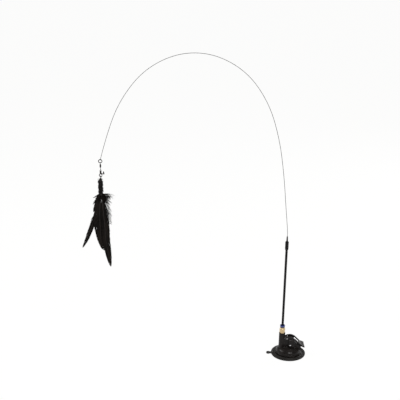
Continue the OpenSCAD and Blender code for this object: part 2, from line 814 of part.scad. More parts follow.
module clasp_gate() {
    color(steel) difference() {
        union() {
            bent_bar(gate_tip_a, pivot_a, gate_t / 2);
            translate([pivot_x, 0, pivot_z]) rotate([90, 0, 0])
                cylinder(h = gate_t, r = gate_boss_r, center = true);
            translate([pivot_x, 0, pivot_z]) rotate([0, -thumb_tilt, 0]) {
                translate([0, -gate_t / 2, -thumb_t / 2]) cube([thumb_len, gate_t, thumb_t]);
                translate([thumb_len, 0, -thumb_pad_len * thumb_low_share]) hull() {
                    for (end = [thumb_pad_t / 2, thumb_pad_len - thumb_pad_t / 2])
                        translate([0, 0, end]) rotate([90, 0, 0])
                            cylinder(h = thumb_pad_w, r = thumb_pad_t / 2, center = true);
                }
            }
        }
        translate([pivot_x, 0, pivot_z]) rotate([90, 0, 0])
            cylinder(h = gate_t + 2 * cut, r = rivet_r + fit, center = true);
    }
}

module clasp_rivet() {
    color(steel) translate([pivot_x, 0, pivot_z]) rotate([90, 0, 0])
        cylinder(h = clasp_cheek_t + 4 * fit, r = rivet_r, center = true);
}

module clasp_spring() {
    path = helix(leaf_r, (leaf_len - 2 * leaf_wire_r) / leaf_turns, leaf_turns, 12, [0, 0, leaf_wire_r]);
    color(steel) translate([leaf_x, 0, pivot_z]) rotate([0, 90, 0])
        tube(path, leaf_wire_r, thread_sides, [0, 0, 1]);
}

module cord_loop() {
    legs_z = loop_top_z - loop_r;
    path = concat(
        [[lure_x, -loop_r, core_top_z]],
        [for (a = [180:-15:0]) [lure_x, loop_r * cos(a), legs_z + loop_r * sin(a)]],
        [[lure_x, loop_r, core_top_z]]
    );
    color(black) tube(path, loop_cord_r, wire_sides, [1, 0, 0]);
}

module quill_core() {
    color(black) translate([core_x, 0, core_z]) cylinder(h = core_len, r = core_r);
}

thread_path = helix(thread_path_r, thread_pitch, thread_turns, thread_rings, [core_x, 0, thread_z]);
thread_gap = min([for (i = [0:len(thread_path) - 1], k = [thread_rings - 2:thread_rings + 2])
    if (i + k < len(thread_path)) norm(thread_path[i] - thread_path[i + k])]) - thread_d;
echo(thread_gap = thread_gap);

module binding_thread() {
    color(black) tube(with_ends(thread_path, thread_d), thread_r, thread_sides, [0, 0, 1]);
}

// How wide a vane is along its length, as a share of its widest
function vane_share(u, rise, round) =
    u <= 0 ? 0 : pow(min(1, u / rise), 0.6) * pow(max(0, 1 - pow(u, 3)), round);

// A feather that hangs from the core's foot. Its root is placed in shares of the core's radius,
// and starts lower where it slants, so that it only touches the foot
module feather(root_share, length, arcs, heading, splay, width, left_share, bare, round,
        rise = vane_rise_share) {
    root = [core_x + root_share[0] * core_r, 0, core_z - quill_r * abs(sin(heading))];
    steps = arc_steps(arcs, length, feather_bend_step, feather_step);
    path = walk(steps, root, 180 + heading);
    last = len(path) - 1;
    t = tangents(path);
    color(black) skin([for (i = [0:last])
        let (
            u = (i / last - bare) / (1 - bare),
            wide = vane_share(u, rise, round),
            left = quill_r + (width * left_share - quill_r) * wide,
            right = quill_r + (width * (1 - left_share) - quill_r) * wide,
            thin = vane_t / 2,
            rib = max(rib_least_share * thin, quill_r * (1 - rib_taper_share * i / last)),
            edge = u <= 0 ? thin : thin / 2,
            y = root_share[1] * core_r + splay * (root[2] - path[i][2]),
            side = cross(t[i], [0, 1, 0])
        )
        [for (p = [
            [0, max(thin, rib / 2)], [-left, edge], [-left, -edge], [-quill_r / 2, -thin],
            [0, -rib], [quill_r / 2, -thin], [right, -edge], [right, edge]
        ]) [path[i][0], y, path[i][2]] + p[0] * side + [0, p[1], 0]]
    ]);
}

module long_feather() {
    feather([0.6, -0.72], long_len, [[0.5, 0], [0.22, 3], [0.28, 6]], 3, -0.03,
        long_w, 0.42, 0.06, 0.55, long_rise_share);
}

module broad_feather() {
    feather([-0.22, -0.44], broad_len, [[0.35, 2], [0.35, 8], [0.3, 12]], -5, -0.012,
        broad_w, 0.59, 0.08, 0.5);
}

module slim_feather() {
    feather([-0.6, 0.44], slim_len, [[0.5, -4], [0.5, -11]], -13.5, 0.02,
        slim_w, 0.5, 0.35, 0.6, slim_rise_share);
}

module side_feather() {
    feather([-0.62, 0.14], side_len, [[0.5, -3], [0.5, 4]], -20, 0.008,
        side_w, 0.5, 0.1, 0.6);
}

module back_feather() {
    feather([0.35, 0.74], back_len, [[0.5, -4], [0.5, 0]], 9, 0.045,
        back_w, 0.45, 0.06, 0.7);
}

module down_plume() {
    feather([0.56, -0.16], plume_len, [[0.3, 25], [0.4, -2], [0.3, -25]], 62, 0,
        plume_w, 0.72, 0.12, 0.6);
}

suction_cup();
base_housing();
cup_stem();
release_spring();
lever();
lever_pin();
fitting_body();
fitting_seal();
fitting_collet();
release_ring();
rod();
rod_collar();
tip_boot();
wire();
split_ring();
swivel_top_eye();
swivel_barrel();
swivel_bottom_eye();
clasp_body();
clasp_gate();
clasp_rivet();
clasp_spring();
cord_loop();
quill_core();
binding_thread();
long_feather();
broad_feather();
slim_feather();
side_feather();
back_feather();
down_plume();
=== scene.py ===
# %% [markdown]
# A cat teaser wand on a lever-lock suction base. A short rod stands in a push-in
# fitting, a long spring wire arches over from its tip, and a feather lure hangs
# from the wire on a ring, a swivel and a clasp.
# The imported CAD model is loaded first. It fixes where every piece is and how it
# moves, and everything that follows is dressed onto it.

# %% Load the frame
import math
import random
import bmesh
import bpy
from mathutils import Matrix, Vector


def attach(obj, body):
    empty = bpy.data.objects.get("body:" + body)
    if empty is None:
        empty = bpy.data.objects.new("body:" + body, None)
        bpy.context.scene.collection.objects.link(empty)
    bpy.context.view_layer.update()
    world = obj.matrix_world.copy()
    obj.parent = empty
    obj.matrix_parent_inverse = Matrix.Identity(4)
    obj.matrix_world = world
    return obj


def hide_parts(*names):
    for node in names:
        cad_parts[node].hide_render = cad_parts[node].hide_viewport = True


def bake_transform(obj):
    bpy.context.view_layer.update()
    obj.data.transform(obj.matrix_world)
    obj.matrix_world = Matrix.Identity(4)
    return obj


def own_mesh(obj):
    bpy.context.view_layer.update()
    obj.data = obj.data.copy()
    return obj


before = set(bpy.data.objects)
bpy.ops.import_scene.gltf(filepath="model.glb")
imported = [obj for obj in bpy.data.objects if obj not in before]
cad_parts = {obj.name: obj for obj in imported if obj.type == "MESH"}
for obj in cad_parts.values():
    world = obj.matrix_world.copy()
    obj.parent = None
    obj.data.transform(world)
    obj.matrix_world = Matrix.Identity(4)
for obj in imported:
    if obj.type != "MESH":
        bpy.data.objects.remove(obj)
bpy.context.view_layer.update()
MM = 0.001
rng = random.Random(7)

# %% [markdown]
# The photograph was taken from in front and a little above, with a long lens that
# points 18 degrees downwards and isn't rolled. The cup's ellipse gives the height
# of the view, and the rod's length gives its distance. The same camera is set up
# here before anything else.

# %% Camera


def in_scene(made):
    bpy.context.scene.collection.objects.link(made)
    return made


camera_data = bpy.data.cameras.new("photo_camera")
camera_data.lens = 75
camera_data.sensor_width = 36
camera = in_scene(bpy.data.objects.new("photo_camera", camera_data))
camera.location = (-0.17164, -1.45159, 0.79364)
camera.rotation_euler = (math.radians(90 - 18.27), 0, 0)
bpy.context.scene.camera = camera
print("camera at", tuple(camera.location))

# %% [markdown]
# A product photograph like this one is taken on a light table. The floor is one
# pale sheet that glows almost evenly, so the part throws only a faint shadow. The
# room is white at the height of the horizon and dark overhead, and three softboxes
# give black plastic the few broad highlights it needs.

# %% Floor, world and lamps
STAGE_WHITE = (1.0, 1.0, 0.996, 1)
GLOW, PALE = 0.955, 0.05


def set_values(node, values):
    for socket, value in values.items():
        node.inputs[socket].default_value = value
    return node


def mapped(tree, value, low, high, to_low=0.0, to_high=1.0, way="SMOOTHSTEP"):
    """A value between low and high, carried over to another range."""
    node = tree.nodes.new("ShaderNodeMapRange")
    node.interpolation_type = way
    set_values(node, {"From Min": low, "From Max": high, "To Min": to_low, "To Max": to_high})
    tree.links.new(value, node.inputs["Value"])
    return node.outputs["Result"]


def split_up(tree, vector):
    node = tree.nodes.new("ShaderNodeSeparateXYZ")
    tree.links.new(vector, node.inputs["Vector"])
    return node.outputs


def pale_floor():
    bm = bmesh.new()
    bmesh.ops.create_grid(bm, x_segments=1, y_segments=1, size=20)
    mesh = bpy.data.meshes.new("floor")
    bm.to_mesh(mesh)
    bm.free()
    floor = in_scene(bpy.data.objects.new("floor", mesh))
    floor.location = (0, 0, -0.0002)
    material = bpy.data.materials.new("floor_white")
    material.use_nodes = True
    set_values(material.node_tree.nodes["Principled BSDF"], {
        "Base Color": (PALE, PALE, PALE, 1), "Emission Color": STAGE_WHITE, "Emission Strength": GLOW,
        "Roughness": 1.0, "Specular IOR Level": 0.0})
    mesh.materials.append(material)


def softbox(name, place, aim, size, power):
    data = bpy.data.lights.new(name, "AREA")
    data.shape = "RECTANGLE"
    data.size, data.size_y = size
    data.energy = power
    lamp = in_scene(bpy.data.objects.new(name, data))
    lamp.location = place
    direction = Vector(aim) - Vector(place)
    lamp.rotation_euler = direction.to_track_quat("-Z", "Y").to_euler()


def room():
    """White up to a little above the horizon, and darker towards the ceiling."""
    world = bpy.data.worlds.new("white_room")
    world.use_nodes = True
    tree = world.node_tree
    place = tree.nodes.new("ShaderNodeTexCoord")
    height = split_up(tree, place.outputs["Generated"])["Z"]
    level = mapped(tree, height, 0.10, 0.42, 1.0, 0.22)
    tree.links.new(level, tree.nodes["Background"].inputs["Strength"])
    set_values(tree.nodes["Background"], {"Color": (1, 1, 1, 1)})
    return world


pale_floor()
bpy.context.scene.world = room()
bpy.context.scene.view_settings.view_transform = "Standard"
softbox("over_front", (0.35, -1.1, 1.5), (0, 0, 0.1), (0.7, 0.5), 16)
softbox("over_left", (-1.3, 0.2, 1.3), (-0.15, 0, 0.25), (0.9, 0.6), 12)
softbox("behind_right", (1.0, 1.1, 0.9), (0, 0, 0.1), (0.6, 0.6), 9)
print("stage is set")

# %% [markdown]
# Several finishes share the same effects: the fine grain of a moulded or drawn
# surface, dust that settles on what faces up, streaks along a drawn rod or wire,
# and scuffs from handling. Each effect is a node group that is built once and
# placed in a material with its own values.

# %% Shared effects as node groups


def new_group(name, numbers, outputs):
    group = bpy.data.node_groups.new(name, "ShaderNodeTree")
    for socket, value in numbers.items():
        made = group.interface.new_socket(socket, in_out="INPUT", socket_type="NodeSocketFloat")
        made.default_value = value
    for socket in outputs:
        group.interface.new_socket(socket, in_out="OUTPUT", socket_type="NodeSocketFloat")
    start = group.nodes.new("NodeGroupInput")
    end = group.nodes.new("NodeGroupOutput")
    place = group.nodes.new("ShaderNodeTexCoord")
    return group, start, end, place


def feed(tree, value, socket):
    """Links another node's output to a socket, or sets a plain value there."""
    if isinstance(value, bpy.types.NodeSocket):
        tree.links.new(value, socket)
    else:
        socket.default_value = value


def math_node(tree, operation, first, second, clamp=False):
    node = tree.nodes.new("ShaderNodeMath")
    node.operation = operation
    node.use_clamp = clamp
    feed(tree, first, node.inputs[0])
    feed(tree, second, node.inputs[1])
    return node.outputs[0]


def noise_node(tree, vector, scale, detail=3.0):
    node = tree.nodes.new("ShaderNodeTexNoise")
    for value, socket in ((detail, "Detail"), (vector, "Vector"), (scale, "Scale")):
        feed(tree, value, node.inputs[socket])
    return node.outputs["Fac"]


def put_out(group, end, **results):
    """Links each result to the group's output of that name."""
    for socket, value in results.items():
        group.links.new(value, end.inputs[socket])
    return group


def grain_effect():
    group, start, end, place = new_group("fine_grain", {"Scale": 2500.0}, ("Height", "Tone"))
    fine = noise_node(group, place.outputs["Object"], start.outputs["Scale"], 4.0)
    coarse_scale = math_node(group, "MULTIPLY", start.outputs["Scale"], 0.08)
    coarse = noise_node(group, place.outputs["Object"], coarse_scale, 3.0)
    return put_out(group, end, Height=fine, Tone=coarse)


def dust_effect():
    group, start, end, place = new_group("settled_dust", {"Amount": 0.3, "Scale": 350.0}, ("Mask",))
    geometry = group.nodes.new("ShaderNodeNewGeometry")
    upward = math_node(group, "MAXIMUM", split_up(group, geometry.outputs["Normal"])["Z"], 0.0)
    flat = math_node(group, "POWER", upward, 2.5)
    patches = noise_node(group, place.outputs["Object"], start.outputs["Scale"], 5.0)
    speckled = math_node(group, "MULTIPLY", flat, patches)
    mask = math_node(group, "MULTIPLY", speckled, start.outputs["Amount"], clamp=True)
    return put_out(group, end, Mask=mask)


def streak_effect():
    group, start, end, place = new_group(
        "drawn_streaks", {"Across": 1800.0, "Along": 30.0}, ("Streak",))
    stretch = group.nodes.new("ShaderNodeCombineXYZ")
    parts = split_up(group, place.outputs["Object"])
    for axis, factor in (("X", "Across"), ("Y", "Across"), ("Z", "Along")):
        scaled = math_node(group, "MULTIPLY", parts[axis], start.outputs[factor])
        group.links.new(scaled, stretch.inputs[axis])
    streak = noise_node(group, stretch.outputs["Vector"], 1.0, 3.0)
    return put_out(group, end, Streak=streak)


def scuff_effect():
    group, start, end, place = new_group(
        "handling_scuffs", {"Amount": 0.3, "Scale": 500.0}, ("Mask",))
    turned_place = set_values(group.nodes.new("ShaderNodeMapping"),
                              {"Rotation": (0.4, 0.9, 0.3), "Scale": (1.0, 0.12, 1.0)})
    group.links.new(place.outputs["Object"], turned_place.inputs["Vector"])
    lines = noise_node(group, turned_place.outputs["Vector"], start.outputs["Scale"], 6.0)
    thin = math_node(group, "SUBTRACT", lines, 0.62)
    sharp = math_node(group, "MULTIPLY", thin, 12.0, clamp=True)
    mask = math_node(group, "MULTIPLY", sharp, start.outputs["Amount"], clamp=True)
    return put_out(group, end, Mask=mask)


EFFECTS = {
    "grain": grain_effect(), "dust": dust_effect(),
    "streaks": streak_effect(), "scuffs": scuff_effect(),
}
print("effects", sorted(EFFECTS))

# %% [markdown]
# A finish is one material. Its recipe names the plain colour and roughness, and
# how much grain, dust, streaking and scuffing it shows. Colours are mixed over
# the surface, so no finish is a single flat colour, and the bump is as deep as
# the grain on the real thing.

# %% A finish from its recipe
DUST_COLOUR = (0.42, 0.40, 0.37, 1)
# The Mix node has sockets for plain numbers too, so those for colours go by number
MIX_SHARE, MIX_FIRST, MIX_SECOND, MIX_RESULT = 0, 6, 7, 2


def effect_node(tree, kind, values):
    node = tree.nodes.new("ShaderNodeGroup")
    node.node_tree = EFFECTS[kind]
    return set_values(node, values)


def blend_colours(tree, share, first, second):
    node = tree.nodes.new("ShaderNodeMix")
    node.data_type = "RGBA"
    for value, number in ((share, MIX_SHARE), (first, MIX_FIRST), (second, MIX_SECOND)):
        feed(tree, value, node.inputs[number])
    return node.outputs[MIX_RESULT]


def painted_highlight_spot(tree, colour_now, centre, reach, highlight_colour):
    """A painted highlight: paler round a centre and as far as a reach in millimetres."""
    place = tree.nodes.new("ShaderNodeTexCoord")
    mapping = tree.nodes.new("ShaderNodeMapping")
    mapping.vector_type = "TEXTURE"
    set_values(mapping, {"Location": [a * MM for a in centre], "Scale": [a * MM for a in reach]})
    tree.links.new(place.outputs["Object"], mapping.inputs["Vector"])
    distance = tree.nodes.new("ShaderNodeVectorMath")
    distance.operation = "LENGTH"
    tree.links.new(mapping.outputs["Vector"], distance.inputs[0])
    spot = mapped(tree, distance.outputs["Value"], 1.1, 0.6)
    return blend_colours(tree, spot, colour_now, (*highlight_colour, 1))


def finish(name, colour, second, rough, rough_spread=0.1, metal=0.0, grain=(2500.0, 0.02),
           streaks=None, dust=0.0, scuffs=0.0, coat=0.0, shine=0.5, tone_name=None, through=0.0,
           highlight_spot=None):
    material = bpy.data.materials.new(name)
    material.use_nodes = True
    tree = material.node_tree
    shader = tree.nodes["Principled BSDF"]
    set_values(shader, {
        "Metallic": metal, "Coat Weight": coat, "Coat Roughness": 0.12, "Specular IOR Level": shine,
        "Subsurface Weight": through, "Subsurface Radius": (MM, MM, MM)})
    grains = effect_node(tree, "grain", {"Scale": grain[0]})
    tone = grains.outputs["Tone"]
    height = grains.outputs["Height"]
    if streaks:
        drawn = effect_node(tree, "streaks", {"Across": streaks[0], "Along": streaks[1]})
        tone = drawn.outputs["Streak"]
        height = math_node(tree, "ADD", height, drawn.outputs["Streak"])
    if tone_name:
        painted = tree.nodes.new("ShaderNodeAttribute")
        painted.attribute_name = tone_name
        tone = painted.outputs["Fac"]
    tone = mapped(tree, tone, *((0.0, 1.0) if tone_name else (0.3, 0.7)), way="LINEAR")
    colour_now = blend_colours(tree, tone, (*colour, 1), (*second, 1))
    rough_now = math_node(tree, "MULTIPLY", tone, rough_spread)
    rough_now = math_node(tree, "ADD", rough_now, rough)
    lighter = tuple(min(1.0, 0.5 * c + 0.12) for c in second) + (1,)
    for kind, amount, seen in (("scuffs", scuffs, lighter), ("dust", dust, DUST_COLOUR)):
        if amount:
            mask = effect_node(tree, kind, {"Amount": amount}).outputs["Mask"]
            colour_now = blend_colours(tree, mask, colour_now, seen)
            rough_now = math_node(tree, "ADD", rough_now, mask)
    # A painted highlight: a paler spot blended into the colour
    if highlight_spot:
        colour_now = painted_highlight_spot(tree, colour_now, *highlight_spot)
    bump = set_values(tree.nodes.new("ShaderNodeBump"),
                      {"Strength": 0.5, "Distance": grain[1] * MM})
    tree.links.new(height, bump.inputs["Height"])
    tree.links.new(bump.outputs["Normal"], shader.inputs["Normal"])
    tree.links.new(colour_now, shader.inputs["Base Color"])
    tree.links.new(rough_now, shader.inputs["Roughness"])
    return material


print("dust colour", DUST_COLOUR)

# %% [markdown]
# Every surface of the wand has its own finish. Mouldings are glossy and a little
# brown in the black, the rubber is softer and duller, the wire and the tackle are
# dark metal, and the feathers take their tone from each barb. A finish with painted
# light is a second entry that repeats the first, with a painted highlight spot or
# the paler colour of a painted highlight.

# %% Finishes of the wand
GLOSS = dict(colour=(0.005, 0.0041, 0.0038), second=(0.011, 0.0084, 0.0074), rough=0.20,
             grain=(1400, 0.012), dust=0.03, scuffs=0.06, shine=0.16)
FINISHES = {
    "cup_rubber": finish("soft_black_rubber", (0.006, 0.0055, 0.0055), (0.015, 0.013, 0.012),
                         0.40, 0.14, grain=(1800, 0.03), dust=0.07, scuffs=0.06, shine=0.14),
    "gloss_black": finish("moulded_gloss_black", **GLOSS),
    # The lever's finish has a painted highlight, a paler spot on its front arm's left end
    "lever_black": finish("gloss_black_painted_highlight", **GLOSS,
                          highlight_spot=((-4.6, -8.0, 35.2), (3.6, 2.4, 1.9), (0.17, 0.165, 0.16))),
    "stem_plastic": finish("stem_grey_plastic", (0.045, 0.045, 0.047), (0.075, 0.073, 0.072),
                           0.45, 0.12, grain=(2200, 0.03), scuffs=0.2),
    "spring_steel": finish("spring_steel_wire", (0.035, 0.034, 0.035), (0.085, 0.082, 0.080),
                           0.34, 0.16, metal=1.0, grain=(5000, 0.004), streaks=(5000, 180)),
    "bright_steel": finish("polished_steel", (0.55, 0.55, 0.56), (0.72, 0.72, 0.72),
                           0.14, 0.12, metal=1.0, grain=(5000, 0.003), scuffs=0.2),
    "brass": finish("turned_brass", (0.50, 0.37, 0.20), (0.62, 0.47, 0.27),
                    0.13, 0.06, metal=1.0, grain=(4000, 0.0015), streaks=(300, 9000), scuffs=0.08),
    # The ring's lower band is a paler blue: a painted highlight
    "blue_edge": finish("blue_nylon_painted_highlight", (0.16, 0.18, 0.36), (0.24, 0.27, 0.46),
                        0.36, 0.12, grain=(2500, 0.012), through=0.15),
    "blue_plastic": finish("blue_nylon", (0.004, 0.014, 0.12), (0.008, 0.028, 0.20),
                           0.28, 0.12, grain=(2500, 0.012), dust=0.06, coat=0.2, through=0.15),
    "rod_black": finish("drawn_black_rod", (0.003, 0.0027, 0.003), (0.010, 0.0088, 0.009),
                        0.30, 0.16, grain=(2600, 0.006), streaks=(2600, 45), scuffs=0.05, shine=0.07),
    "sleeve_black": finish("matt_black_sleeve", (0.004, 0.004, 0.004), (0.011, 0.010, 0.010),
                           0.48, 0.12, grain=(2600, 0.02), scuffs=0.05, shine=0.10),
    "nickel": finish("dark_nickel", (0.010, 0.0095, 0.009), (0.050, 0.047, 0.044),
                     0.22, 0.20, metal=1.0, grain=(3500, 0.006), scuffs=0.25),
    "black_thread": finish("waxed_black_thread", (0.0025, 0.0022, 0.002), (0.014, 0.012, 0.011),
                           0.55, 0.14, grain=(6000, 0.05), shine=0.10),
    "quill": finish("horn_quill", (0.012, 0.010, 0.009), (0.050, 0.042, 0.038),
                    0.40, 0.14, grain=(4000, 0.01), streaks=(4000, 200), shine=0.2),
    "feather": finish("black_brown_barbs", (0.0018, 0.0015, 0.0014), (0.016, 0.012, 0.0095),
                      0.42, 0.16, grain=(7000, 0.01), tone_name="barb_tone", shine=0.07),
    "down": finish("smoky_down", (0.003, 0.0024, 0.002), (0.022, 0.017, 0.013),
                   0.60, 0.12, grain=(7000, 0.01), tone_name="barb_tone", shine=0.05),
}
# Two finishes repeat another with a painted highlight, and keep its material in the record
print("finishes", len(FINISHES))

# %% [markdown]
# Each new piece is drawn in millimetres with bmesh operators and made an object
# in metres by one function, which also says what the piece rides on, which CAD
# node it stands for and which slot its finish comes from. The object stays at the
# origin and its place is in its mesh.

# %% From a bmesh to a piece
SMOOTH_BELOW = math.radians(34)


def as_object(bm, name, slot_name, place=None, scale=MM):
    if place is not None:
        bmesh.ops.transform(bm, matrix=place, verts=bm.verts)
    bmesh.ops.scale(bm, vec=(scale,) * 3, verts=bm.verts)
    mesh = bpy.data.meshes.new(name)
    bm.to_mesh(mesh)
    bm.free()
    mesh.shade_smooth()
    mesh.set_sharp_from_angle(angle=SMOOTH_BELOW)
    mesh.materials.append(FINISHES[slot_name])
    made = in_scene(bpy.data.objects.new(name, mesh))
    return made


def piece(bm, name, slot_name, body, stands_for=(), place=None):
    made = as_object(bm, name, slot_name, place)
    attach(made, body)
    if stands_for:
        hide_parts(*stands_for)
    print(name, len(made.data.polygons), "faces")
    return made


def kept(node, slot_name):
    """A CAD node whose shape is right keeps it, and gets its finish."""
    node_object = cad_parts[node]
    node_object.data.materials.clear()
    node_object.data.materials.append(FINISHES[slot_name])


def baked(made):
    """The piece with its modifiers applied to its mesh."""
    bpy.context.view_layer.update()
    graph = bpy.context.evaluated_depsgraph_get()
    mesh = bpy.data.meshes.new_from_object(made.evaluated_get(graph))
    made.modifiers.clear()
    made.data = mesh
    return made


def moulded(node, slot_name, body, voxel, passes):
    """A copy of a CAD node with the small round edges that a mould leaves."""
    bm = bmesh.new()
    bm.from_mesh(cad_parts[node].data)
    bmesh.ops.remove_doubles(bm, verts=bm.verts, dist=1e-6)
    made = as_object(bm, node + "_moulded", slot_name, scale=1.0)
    remesh = made.modifiers.new("one_skin", "REMESH")
    remesh.mode = "VOXEL"
    remesh.voxel_size = voxel * MM
    remesh.use_smooth_shade = True
    smooth = made.modifiers.new("soft_edges", "SMOOTH")
    smooth.factor = 0.5
    smooth.iterations = passes
    baked(made)
    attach(made, body)
    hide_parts(node)
    print(made.name, len(made.data.polygons), "faces")
    return made


print("edges stay smooth below", round(math.degrees(SMOOTH_BELOW)), "degrees")

# %% [markdown]
# Most of the hard parts are round, as they come off a lathe or out of a round
# mould. A cylinder with bevels would do for the plainest, but a section that is
# drawn once and spun also gives grooves, steps and domed ends. Its corners are
# rounded before it is spun, while each is still a single vertex.

# %% Turned shapes
CORNER_STEPS = 3


def turned(outline, rounding=0.0, segments=64, closed=True):
    """A section in radius and height, its corners rounded, spun into a solid."""
    bm = bmesh.new()
    corners = [bm.verts.new((radius, 0, height)) for radius, height in outline]
    pairs = list(zip(corners, corners[1:])) + ([(corners[-1], corners[0])] if closed else [])
    for pair in pairs:
        bm.edges.new(pair)
    if rounding:
        inner = [v for v in corners if v.co.x > 1e-6]
        bmesh.ops.bevel(bm, geom=inner, offset=rounding, offset_type="OFFSET", segments=CORNER_STEPS,
                        profile=0.5, affect="VERTICES", clamp_overlap=True, material=-1)
    bmesh.ops.spin(bm, geom=bm.verts[:] + bm.edges[:], cent=(0, 0, 0), axis=(0, 0, 1),
                   angle=2 * math.pi, steps=segments, use_merge=True)
    bmesh.ops.remove_doubles(bm, verts=bm.verts, dist=1e-4)
    bmesh.ops.recalc_face_normals(bm, faces=bm.faces)
    return bm


def merged(*parts):
    """Several closed shells in one bmesh, each emptied into it."""
    whole = bmesh.new()
    for part in parts:
        mesh = bpy.data.meshes.new("shell")
        part.to_mesh(mesh)
        part.free()
        whole.from_mesh(mesh)
        bpy.data.meshes.remove(mesh)
    return whole


print("corners are rounded with", CORNER_STEPS, "steps")

# %% [markdown]
# The cup is soft black rubber: a disc with a flat sealing band below, a rim that
# shows all round the housing, and a tab to peel it off. The rim has two raised
# rings, which catch the light in the photograph. The middle is a piece of its
# own, with its own copy of the mesh; on the real cup it is the part that flattens
# when the lever lets the stem down.

# %% Suction cup
CUP_R, CUP_EDGE_H, CUP_SEAT_H = 33.0, 2.4, 3.0
HOLLOW_H, SEAL_R, CUP_TOP_Z = 2.6, 23.0, 4.6
FOOT_R, SPLIT_R = 11.0, 18.0


def hollow_height(radius):
    return HOLLOW_H * (SEAL_R - radius) / (SEAL_R - FOOT_R)


def cup_rim():
    outline = [
        (SPLIT_R, hollow_height(SPLIT_R)), (SEAL_R, 0.0), (29.6, 0.0), (29.9, 0.25), (30.3, 0.25),
        (30.6, 0.0), (CUP_R - 0.3, 0.0), (CUP_R, 0.35), (CUP_R, CUP_EDGE_H - 0.35),
        (CUP_R - 0.45, CUP_EDGE_H + 0.02), (31.6, CUP_EDGE_H + 0.06), (31.1, 1.9), (30.0, 1.85),
        (29.6, 2.45), (28.9, 2.55), (28.4, 2.0), (27.3, 2.1), (26.9, 2.75), (26.2, CUP_SEAT_H - 0.02),
        (SPLIT_R, CUP_SEAT_H - 0.02),
    ]
    return turned(outline, rounding=0.18, segments=160)


def cup_tab():
    bm = bmesh.new()
    half_w, knob_r, start_x, knob_x = 2.9, 4.06, -31.6, -38.54
    meet = math.asin(half_w / knob_r)
    outline = [(start_x, -half_w), (start_x, half_w)]
    for step in range(15):
        turn = meet + (2 * math.pi - 2 * meet) * step / 14
        outline.append((knob_x + knob_r * math.cos(turn), knob_r * math.sin(turn)))
    floor_z, top_z = 0.3, 2.4
    base = bm.faces.new([bm.verts.new((x, y, floor_z)) for x, y in outline])
    raised = bmesh.ops.extrude_face_region(bm, geom=[base])["geom"]
    tops = [v for v in raised if isinstance(v, bmesh.types.BMVert)]
    bmesh.ops.translate(bm, vec=(0, 0, top_z - floor_z), verts=tops)
    lid = [f for f in raised if isinstance(f, bmesh.types.BMFace)]
    bmesh.ops.inset_region(bm, faces=lid, thickness=0.7, depth=0.0)
    bmesh.ops.translate(bm, vec=(0, 0, -0.35), verts=lid[0].verts)
    bmesh.ops.recalc_face_normals(bm, faces=bm.faces)
    rims = [e for e in bm.edges if e.calc_face_angle(0) > math.radians(40)]
    bmesh.ops.bevel(bm, geom=rims, offset=0.3, segments=CORNER_STEPS, profile=0.5, affect="EDGES",
                    clamp_overlap=True, material=-1)
    return bm


piece(merged(cup_rim(), cup_tab()), "cup_rim", "cup_rubber", "base", ["suction_cup"])
cup_middle = piece(
    turned([(0, HOLLOW_H), (FOOT_R, HOLLOW_H), (SPLIT_R, hollow_height(SPLIT_R)),
            (SPLIT_R, CUP_SEAT_H - 0.02), (FOOT_R, CUP_TOP_Z), (0, CUP_TOP_Z)],
           segments=96, closed=False),
    "cup_middle", "cup_rubber", "base", ["suction_cup"])
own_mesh(cup_middle)

# %% [markdown]
# The housing and the lever are glossy black mouldings. Their CAD solids have the
# right shape but knife-sharp edges, which no mould makes. A copy of each is given
# one skin of small square faces and smoothed a little, so every edge gets a small
# radius and every corner between two walls a small fillet.

# %% Housing and lever
moulded("base_housing", "gloss_black", "base", 0.34, 5)
moulded("lever", "lever_black", "lever_arm", 0.26, 4)

# %% [markdown]
# The pin's shiny end shows on the lever's front cheek as a bright dot. It is a
# turned steel pin with two domed heads. The stem and the spring inside the
# housing are hidden and keep their CAD shapes.

# %% Pin, stem and spring
PIN_X, PIN_Z, PIN_R, HEAD_R, REACH = 2.9, 20.95, 1.2, 1.5, 9.4
pin_outline = [
    (0, -REACH - 0.3), (0.8, -REACH - 0.27), (HEAD_R - 0.2, -REACH - 0.15), (HEAD_R, -REACH),
    (PIN_R, -REACH), (PIN_R, REACH), (HEAD_R, REACH), (HEAD_R - 0.2, REACH + 0.15),
    (0.8, REACH + 0.27), (0, REACH + 0.3),
]
across = Matrix.Translation((PIN_X, 0, PIN_Z)) @ Matrix.Rotation(math.pi / 2, 4, "X")
piece(turned(pin_outline, segments=48, closed=False), "lever_pin_turned", "bright_steel", "stem",
      ["lever_pin"], across)
kept("cup_stem", "stem_plastic")
kept("release_spring", "bright_steel")

# %% [markdown]
# The wand stands in a push-in fitting: a hexagonal brass body whose shank goes
# down the socket, and a blue ring that is pressed to let the rod go. Everything
# on the wand is drawn round its own upright axis and then leant one degree.

# %% Push-in fitting
SOCKET_X, SOCKET_Z, WAND_LEAN = 12.5, 44.5, 1.0
wand_place = Matrix.Translation((-SOCKET_X, 0, SOCKET_Z)) @ Matrix.Rotation(
    math.radians(WAND_LEAN), 4, "Y")
moulded("fitting_body", "brass", "base", 0.16, 2)
kept("fitting_seal", "sleeve_black")
kept("fitting_collet", "bright_steel")


def raised(outline, low):
    """An outline in radius and height, with its heights counted from low."""
    return [(radius, low + height) for radius, height in outline]


